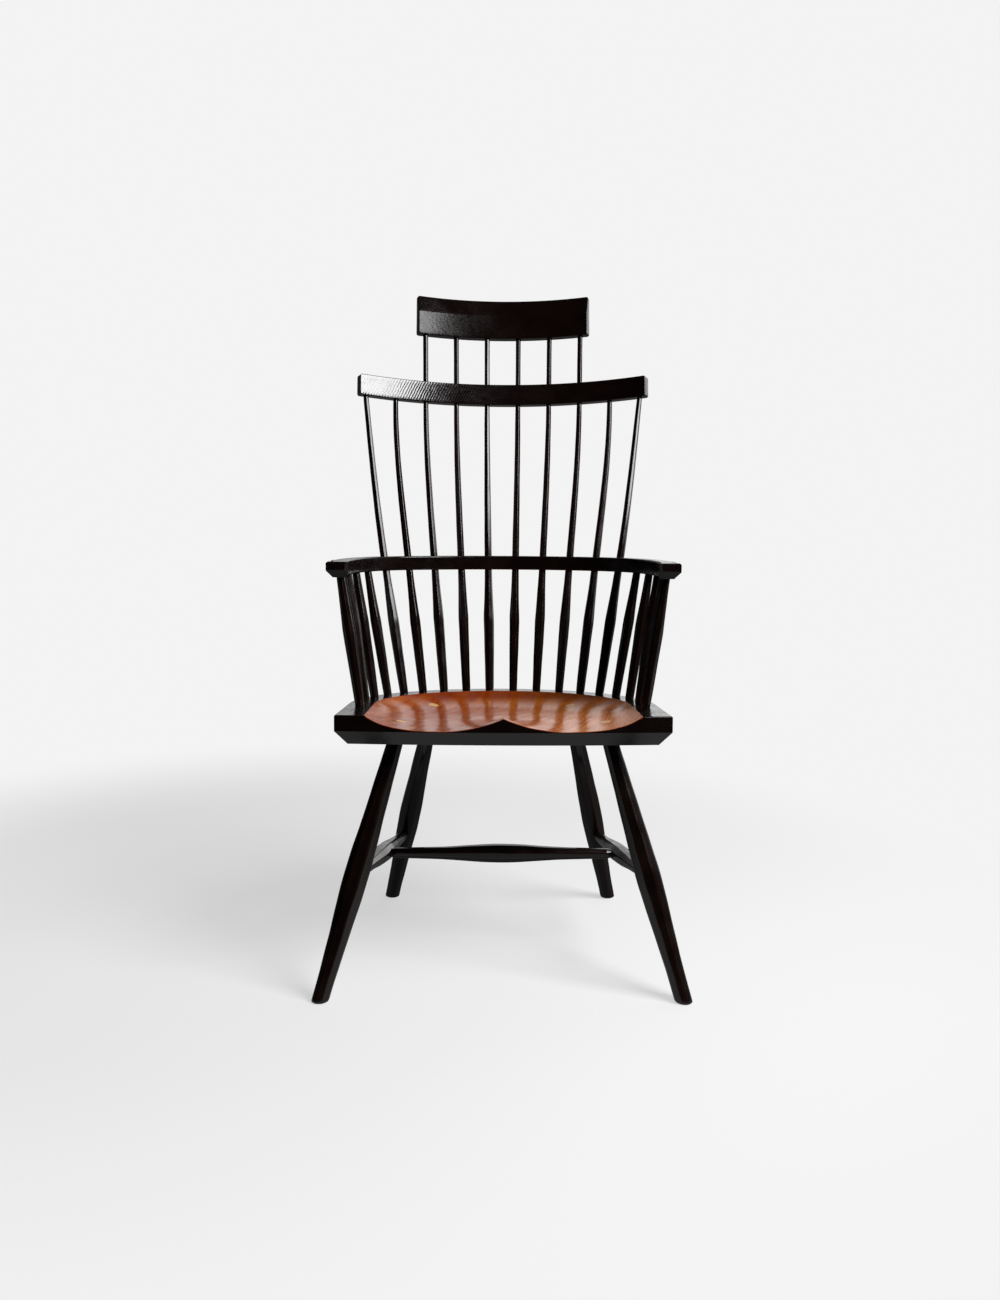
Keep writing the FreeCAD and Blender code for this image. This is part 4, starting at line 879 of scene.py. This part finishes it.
def rail_point(distance):
    """A place on the rail's centre line, by its distance along it from the middle of the back."""
    angle = math.pi / 2
    for middle, radius, end in ARCS:
        turn = angle - distance / radius
        if turn > end:
            break
        distance -= radius * (angle - end)
        angle = end
    return middle + radius * np.array([math.cos(turn), math.sin(turn)])


print("the rail's back is an arc to", round(math.degrees(BACK_END), 1), "degrees")

# %% Paths of the spindles
SEAT_SPACING, DECK_MARGIN = 44.0, 19.0
CREST_RADIUS, CREST_SPACING, CREST_DEPTH = 550.0, 58.6, 39.0
COMB_RADIUS, COMB_SPACING, COMB_DEPTH = 455.0, 59.5, 75.5
MORTISE_ROWS = [-9.0, -4.0, 0.0]
SHOULDER, STEP = 2.8, 4.5
INTO_CREST, INTO_COMB, BELOW_CREST_TOP = 12.0, 10, 6
LONG, THROUGH = 5, 3
# Degrees by which the long spindles that end at the lower crest spread outwards
OUTWARDS = {3: 0.4, 4: 6.2}


def on_circle(order, hand, spacing, radius, back=0.0):
    """A place on a circle by its order outwards from the middle line, half a spacing first."""
    angle = (order + 0.5) * 2 * math.asin(spacing / 2 / radius)
    return np.array([hand * radius * math.sin(angle), radius * math.cos(angle) - back, 0.0])


def spindle_path(order, hand):
    """The middles of a spindle's rows, its length from seat to rail, its way through the rail,
    and the length of the bend above it, or nothing for a short one."""
    foot = seat_place(on_circle(order, hand, SEAT_SPACING, SEAT_RADIUS - DECK_MARGIN))
    plan = rail_point((order + 0.5) * RAIL_SPACING)
    through = rail_place((hand * plan[0], plan[1], RAIL_THICKNESS / 2))
    way = unit(through - foot)
    crossing = RAIL_THICKNESS / way.dot(direction_in(rail_place, (0, 0, 1)))
    under = through - way * crossing / 2
    span = np.linalg.norm(under - foot)
    straight = np.concatenate([MORTISE_ROWS, np.arange(2.0, span, STEP),
                               [span, span + crossing / 2]])
    middles = [foot + way * straight[:, None]]
    if order >= LONG:
        return middles[0], span, crossing, None
    start = under + way * (crossing + SHOULDER)
    place = crest_place(on_circle(order, hand, CREST_SPACING, CREST_RADIUS, CREST_RADIUS))
    if order < THROUGH:
        comb = comb_place(on_circle(order, hand, COMB_SPACING, COMB_RADIUS, COMB_RADIUS))
        into = unit(comb - place)
    else:
        outwards = math.tan(math.radians(OUTWARDS[order]))
        into = unit(direction_in(crest_place, (hand * outwards, 0, 1)))
    end = place - into * SHOULDER
    bend = np.linalg.norm(end - start)
    share = np.linspace(0, 1, int(bend / STEP))[:, None]
    middles += [cubic(start, way, end, into, bend, share), place + into * INTO_CREST]
    if order < THROUGH:
        reach = np.linalg.norm(comb - place) + INTO_COMB
        rows = np.arange(CREST_DEPTH - BELOW_CREST_TOP, reach, STEP)
        middles.append(place + into * rows[:, None])
    return np.vstack(middles), span, crossing, bend


print("a long spindle has", len(spindle_path(0, 1)[0]), "rows")

# %% Spindles
SPINDLE_BASE, SPINDLE_SWELL, SPINDLE_RAIL, SPINDLE_TOP = 14.4, 19.2, 12.9, 9.3
SPINDLE_EASE, SPINDLE_UNEVEN, SPINDLE_WAVE, SPINDLE_SEED = 0.8, 0.020, 70.0, 100
PEAK_AT, PEAK_SHARES = [0, 0.3, 0.6, 0.76, 0.9, 1], [0, 0.55, 1, 0.5, 0.12, 0]
PEAK_SHIFT, SPIN = 0.022, 0.4
# How far a spindle is round beyond the seat, the rail and the lower crest, and how softly
ROUND_AT_SEAT, ROUND_AT_RAIL, ROUND_AT_CREST, ROUND_SOFT = 3.0, 2, 4, 4.0


def build_spindle(node, order, hand, seed):
    """One spindle: it swells between seat and rail, thins above the rail, and is round where it
    enters another piece."""
    centres, span, crossing, bend = spindle_path(order, hand)
    at = np.concatenate([[0], np.cumsum(np.linalg.norm(np.diff(centres, axis=0), axis=1))])
    at += MORTISE_ROWS[0]
    rng = np.random.default_rng(seed)
    share = np.clip((at - SHOULDER) / (span - 2 * SHOULDER), 0, 1)[:, None]
    shift = rng.uniform(-PEAK_SHIFT, PEAK_SHIFT, FLATS)
    peaks = np.interp(np.clip(share + shift, 0, 1), PEAK_AT, PEAK_SHARES)
    across = (SPINDLE_BASE + share * (SPINDLE_RAIL - SPINDLE_BASE)
              + peaks * (SPINDLE_SWELL - SPINDLE_BASE))
    # Where it is round: the middle of each such stretch, its reach, and how softly it ends
    stops = [(0.0, ROUND_AT_SEAT, ROUND_AT_SEAT),
             (span + crossing / 2, crossing / 2 + ROUND_AT_RAIL, ROUND_SOFT)]
    if bend:
        first = span + crossing + SHOULDER
        thin = np.clip((at - first) / bend, 0, 1)[:, None]
        across = np.where(at[:, None] > span,
                          SPINDLE_RAIL + thin * (SPINDLE_TOP - SPINDLE_RAIL), across)
        stops.append((first + bend + CREST_DEPTH / 2, CREST_DEPTH / 2 + ROUND_AT_CREST,
                      ROUND_SOFT))
    near = np.max([smooth_step((reach - np.abs(at - middle)) / soft)
                   for middle, reach, soft in stops], axis=0)
    uneven = wander(rng, at[-1], len(at), SPINDLE_UNEVEN, SPINDLE_WAVE)
    apothems = across / 2 * (1 + uneven * (1 - near)[:, None])
    section = octagon_section(apothems, SPINDLE_EASE, near, rng.uniform(-SPIN, SPIN))
    directions = unit(np.gradient(centres, at, axis=0))
    return shaved_piece(node, stick_points(centres, directions, section), at)


spindles = []
for side, hand in SIDES:
    for order in range(10):
        kind = f"long_{side}_{order + 1}" if order < LONG else f"short_{side}_{order - LONG + 1}"
        spindles.append(build_spindle("spindle_" + kind, order, hand,
                                      SPINDLE_SEED + order * 2 + (hand > 0)))
print("spindles:", len(spindles))

# %% [markdown]
# ## Crests
#
# Both crests are bent boards: one section carried round an arc. The lower crest's section is a
# plain rectangle, and the upper one has a long bevel on its front. The ends are rounded as seen
# from the front, and all edges are eased with a stroke of the plane.

# %% Section of a board


def offset_polygon(corners, inset):
    """A convex polygon with every side moved inwards, from where its moved sides meet."""
    corners = np.asarray(corners, float)
    ahead = unit(np.roll(corners, -1, axis=0) - corners)
    inward = np.stack([-ahead[:, 1], ahead[:, 0]], axis=-1)
    previous_in, previous_way = np.roll(inward, 1, axis=0), np.roll(ahead, 1, axis=0)
    turn = (previous_way * ahead).sum(axis=1)
    return corners + (previous_in + inward) * (inset / (1 + turn))[:, None]


def eased_polygon(corners, ease, flats):
    """Points round a polygon whose corners are eased. At each corner a curve leaves one side
    and joins the next: (1-s)^2 of its start, 2s(1-s) of the corner and s^2 of its end. Some
    points along each side follow."""
    before, after = np.roll(corners, 1, axis=0), np.roll(corners, -1, axis=0)
    enter = corners + unit(before - corners) * ease
    leave = corners + unit(after - corners) * ease
    s = np.linspace(0, 1, 5)[None, :, None]
    curve = ((1 - s) ** 2 * enter[:, None] + 2 * s * (1 - s) * corners[:, None]
             + s ** 2 * leave[:, None])
    next_enter = np.roll(enter, -1, axis=0)
    t = np.linspace(0, 1, flats + 2)[1:-1][None, :, None]
    side = leave[:, None] * (1 - t) + next_enter[:, None] * t
    return np.concatenate([curve, side], axis=1).reshape(-1, 2)


def drawn_in(gap, radius):
    """How far a rounded end draws in at a gap from its tip: a quarter of a circle."""
    return radius - math.sqrt(max(radius ** 2 - max(radius - gap, 0) ** 2, 0))


print("half way in, a 4 mm rounding has", round(drawn_in(2.0, 4.0), 2), "mm left")

# %% Crests
CREST_WIDTH, COMB_WIDTH = 532.5, 322.0
CREST_THICKNESS, COMB_THICKNESS, COMB_EDGE, COMB_BEVEL_FROM = 17.0, 17.5, 9.0, 43.5
CREST_CORNER, CREST_END, CREST_EASE, END_EASE_SHARE = 4.0, 0.9, 1.7, 0.6
CREST_ROWS, PLAIN_FROM, SIDE_POINTS = 120, 10, 6
END_SHARES, NEAR_END = np.array([0.0, 0.12, 0.35, 0.65, 1.0]), [1.6, 2.4, 3.2, 4.0, 6.0]


def build_crest(node, place, corners, width, radius, paint):
    """A board whose section runs round an arc. Near the ends its height shrinks along a circle,
    which rounds the four corners, and the last rows draw in on all sides to ease the end."""
    half = math.asin(width / 2 / radius) * radius
    near = np.concatenate([END_SHARES * CREST_END, NEAR_END])
    plain = np.linspace(-half + PLAIN_FROM, half - PLAIN_FROM, CREST_ROWS)
    at = np.concatenate([-half + near, plain, half - near[::-1]])
    rows = []
    for along in at:
        gap = half - abs(along)
        shape = offset_polygon(corners, drawn_in(gap, CREST_END))
        low, high = shape[:, 1].min(), shape[:, 1].max()
        squeeze = (high - low - 2 * drawn_in(gap, CREST_CORNER)) / (high - low)
        shape[:, 1] = (low + high) / 2 + (shape[:, 1] - (low + high) / 2) * squeeze
        ease = CREST_EASE * (1 if gap > CREST_END else END_EASE_SHARE)
        section = eased_polygon(shape, ease, SIDE_POINTS)
        outwards = radius + section[:, 0]
        rows.append(np.stack([outwards * math.sin(along / radius),
                              outwards * math.cos(along / radius) - radius, section[:, 1]],
                             axis=-1))
    points = place(np.stack(rows))
    faces = [face[::-1] for face in tube_faces(*points.shape[:2])]
    made = mesh_object(node + "_bent", with_end_points(points), faces, [paint])
    print(made.name, [round(v, 4) for v in made.dimensions])
    return finish_piece(made, "black_paint", node)


# Sections as (outwards, up): the front face is at minus half the thickness
crest_back, comb_back = CREST_THICKNESS / 2, COMB_THICKNESS / 2
crest_section = [(-crest_back, 0), (crest_back, 0), (crest_back, CREST_DEPTH),
                 (-crest_back, CREST_DEPTH)]
comb_section = [(-comb_back, 0), (comb_back, 0), (comb_back, COMB_DEPTH),
                (comb_back - COMB_EDGE, COMB_DEPTH), (-comb_back, COMB_BEVEL_FROM)]
build_crest("crest_lower", crest_place, crest_section, CREST_WIDTH, CREST_RADIUS, paint_crest)
build_crest("crest_upper", comb_place, comb_section, COMB_WIDTH, COMB_RADIUS, paint_comb)

# %% [markdown]
# ## Rail, hands, pegs and wedges
#
# These solids already have their real shape, with the bevels under the hands and the holes for
# the spindles, so they stay and get their finish.

# %% Finish of the solids that stay
finishes = {"arm_rail": paint_rail, "hand_left": paint_side, "hand_right": paint_side,
            "peg_left": paint_comb, "peg_right": paint_comb}
for end, side in leg_axes:
    finishes[f"wedge_{end}_{side}"] = wedge_wood
for node, material in finishes.items():
    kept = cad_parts[node]
    kept.data.materials.clear()
    kept.data.materials.append(material)
print("solids that stay:", len(finishes))

# %% [markdown]
# ## Floor, light and camera
#
# The chair stands on pale paper. A large window at the front right lights it, and pale paper
# behind it gives back light, most of it from the right. The room in front of the chair, on its
# left and overhead is dark: that is why most faces look deep black and the tops shine.
#
# The camera sees a plain pale floor and background. All other rays see the floor painted dark
# # in front of the chair and painted shade under its seat, so the black paint mirrors dark there.

# %% Paper floor
FLOOR_HALF = 9000.0
# The last colour is painted dark, which the floor shows to all rays but the camera's
PAPER_WHITE, PAPER_NEAR, PAINTED_DARK = "#f3f3f3", "#9c9c9c", "#1c1a19"
PAPER_MIDDLE, PAPER_GLOW = (-0.35, 0.2, 0.0), 0.57
# In metres from the paper's middle: where it starts to fade, and where it is all background
FADE_FROM, FADE_TO = 0.7, 1.5
# Along Y in metres: two ends, and the share of painted dark at each that the chair mirrors and
# # gets as bounce light. The first is painted dark on the floor in front of it, and the second
# # painted shade under its seat.
FLOOR_SHADES = ((-0.4, -1.2, 0.5, 1.0), (-0.32, -0.10, 0.0, 0.85))

# The floor's far part is as bright as the background, so that no horizon shows
material = new_material("pale_paper")
tree = material.node_tree
place = add_node(tree, "ShaderNodeTexCoord").outputs["Object"]
distance = add_node(tree, "ShaderNodeVectorMath", {"operation": "DISTANCE", 1: PAPER_MIDDLE},
                    {0: place})
far = add_node(tree, "ShaderNodeMapRange",
               {"interpolation_type": "SMOOTHSTEP", "From Min": FADE_FROM, "From Max": FADE_TO},
               {"Value": distance})
matt = add_node(tree, "ShaderNodeBsdfDiffuse", {"Color": linear(PAPER_NEAR)})
lit = add_node(tree, "ShaderNodeEmission",
               {"Color": linear("#ffffff"), "Strength": PAPER_GLOW})
paper = add_node(tree, "ShaderNodeAddShader", None, {0: matt, 1: lit})
bright = add_node(tree, "ShaderNodeEmission", {"Color": linear(PAPER_WHITE)})
seen = add_node(tree, "ShaderNodeMixShader", None, {0: far, 1: paper, 2: bright})
# All rays but the camera's see the darker of the two painted shades
parts = add_node(tree, "ShaderNodeSeparateXYZ", None, {"Vector": place})
darker = [add_node(tree, "ShaderNodeMapRange",
                   {"interpolation_type": "SMOOTHSTEP", "From Min": near, "From Max": end,
                    "To Min": least, "To Max": most}, {"Value": parts.outputs["Y"]})
          for near, end, least, most in FLOOR_SHADES]
dim = add_node(tree, "ShaderNodeMath", {"operation": "MAXIMUM"}, {0: darker[0], 1: darker[1]})
ray = add_node(tree, "ShaderNodeLightPath")
unseen = add_node(tree, "ShaderNodeMath", {"operation": "SUBTRACT", 0: 1.0},
                  {1: ray.outputs["Is Camera Ray"]})
dark = add_node(tree, "ShaderNodeMath", {"operation": "MULTIPLY"}, {0: dim, 1: unseen})
# Painted dark: the floor that the chair mirrors and gets bounce light from
black = add_node(tree, "ShaderNodeEmission", {"Color": linear(PAINTED_DARK)})
final = add_node(tree, "ShaderNodeMixShader", None, {0: dark, 1: seen, 2: black})
add_node(tree, "ShaderNodeOutputMaterial", None, {"Surface": final})

corners = FLOOR_HALF * np.array([(-1, -1, 0), (1, -1, 0), (1, 1, 0), (-1, 1, 0)])
floor = mesh_object("paper_floor", corners, [(0, 1, 2, 3)], [material])
print("floor:", round(floor.dimensions.x), "m wide")

# %% Window light
KEY_PLACE, KEY_TARGET, KEY_SIZE, KEY_WATTS = (1.80, -1.35, 2.45), (0, 0, 0.7), 1.5, 114

window = bpy.data.lights.new("key_right", "AREA")
window.shape, window.size, window.energy = "SQUARE", KEY_SIZE, KEY_WATTS
key = into_scene("key_right", window)
key.location = KEY_PLACE
aim = np.subtract(KEY_TARGET, KEY_PLACE)
pitch = math.atan2(aim[2], math.hypot(aim[0], aim[1]))
key.rotation_euler = (math.pi / 2 + pitch, 0, math.atan2(-aim[0], aim[1]))
print("the window looks down by", round(-math.degrees(pitch)), "degrees")

# %% What the room gives back
# On each axis of the direction: two ends, and how bright the room is at each
ROOM_LIGHT = (("Y", 0.06, 0.5, 0.012, 1.0), ("Z", 0.75, 0.30, 0.20, 1.0),
              ("Z", -0.05, 0.08, 0.7, 1.0), ("X", -0.6, 0.5, 0.08, 1.9))

world = bpy.data.worlds.new("studio")
bpy.context.scene.world = world
world.use_nodes = True
tree = world.node_tree
tree.nodes.clear()
way = add_node(tree, "ShaderNodeTexCoord").outputs["Generated"]
parts = add_node(tree, "ShaderNodeSeparateXYZ", None, {"Vector": way})
strength = None
for axis, low, high, least, most in ROOM_LIGHT:
    share = add_node(tree, "ShaderNodeMapRange",
                     {"interpolation_type": "SMOOTHSTEP", "From Min": low, "From Max": high,
                      "To Min": least, "To Max": most}, {"Value": parts.outputs[axis]})
    strength = share if strength is None else add_node(
        tree, "ShaderNodeMath", {"operation": "MULTIPLY"}, {0: strength, 1: share})
studio = add_node(tree, "ShaderNodeBackground", None, {"Strength": strength})
plain = add_node(tree, "ShaderNodeBackground", {"Color": linear(PAPER_WHITE)})
ray = add_node(tree, "ShaderNodeLightPath")
mixed = add_node(tree, "ShaderNodeMixShader", None,
                 {0: ray.outputs["Is Camera Ray"], 1: studio, 2: plain})
add_node(tree, "ShaderNodeOutputWorld", None, {"Surface": mixed})
print("world nodes:", len(tree.nodes))

# %% [markdown]
# ### Camera
#
# The photograph's camera stood about two metres from the chair at the height of its rail, and
# looked slightly down. Its place, its turn and its lens come from fitting the chair's outline.

# %% Camera
CAMERA_PLACE = (-20.0, -1980.6 + Y_SHIFT, 784.0)
CAMERA_YAW, CAMERA_PITCH, CAMERA_ROLL = map(math.radians, (0.44, 7.48, -0.33))
IMAGE_HEIGHT, FOCAL_PIXELS, SENSOR = 1300, 1201.0, 36.0


def camera_axes():
    """Right, up and backwards for a camera that is turned, tipped down and rolled."""
    forward = np.array([math.sin(CAMERA_YAW) * math.cos(CAMERA_PITCH),
                        math.cos(CAMERA_YAW) * math.cos(CAMERA_PITCH), -math.sin(CAMERA_PITCH)])
    right = np.array([math.cos(CAMERA_YAW), -math.sin(CAMERA_YAW), 0.0])
    down = unit(np.cross(forward, right))
    cosine, sine = math.cos(CAMERA_ROLL), math.sin(CAMERA_ROLL)
    return right * cosine + down * sine, right * sine - down * cosine, -forward


camera_data = bpy.data.cameras.new("camera")
camera_data.sensor_width = SENSOR
camera_data.lens = FOCAL_PIXELS * SENSOR / IMAGE_HEIGHT
camera = into_scene("camera", camera_data)
matrix = np.eye(4)
matrix[:3, :3] = np.stack(camera_axes(), axis=-1)
matrix[:3, 3] = np.array(CAMERA_PLACE) * MM
camera.matrix_world = Matrix(matrix.tolist())
bpy.context.scene.camera = camera
bpy.context.scene.view_settings.view_transform = "Standard"
print("lens", round(camera_data.lens, 2), "mm")
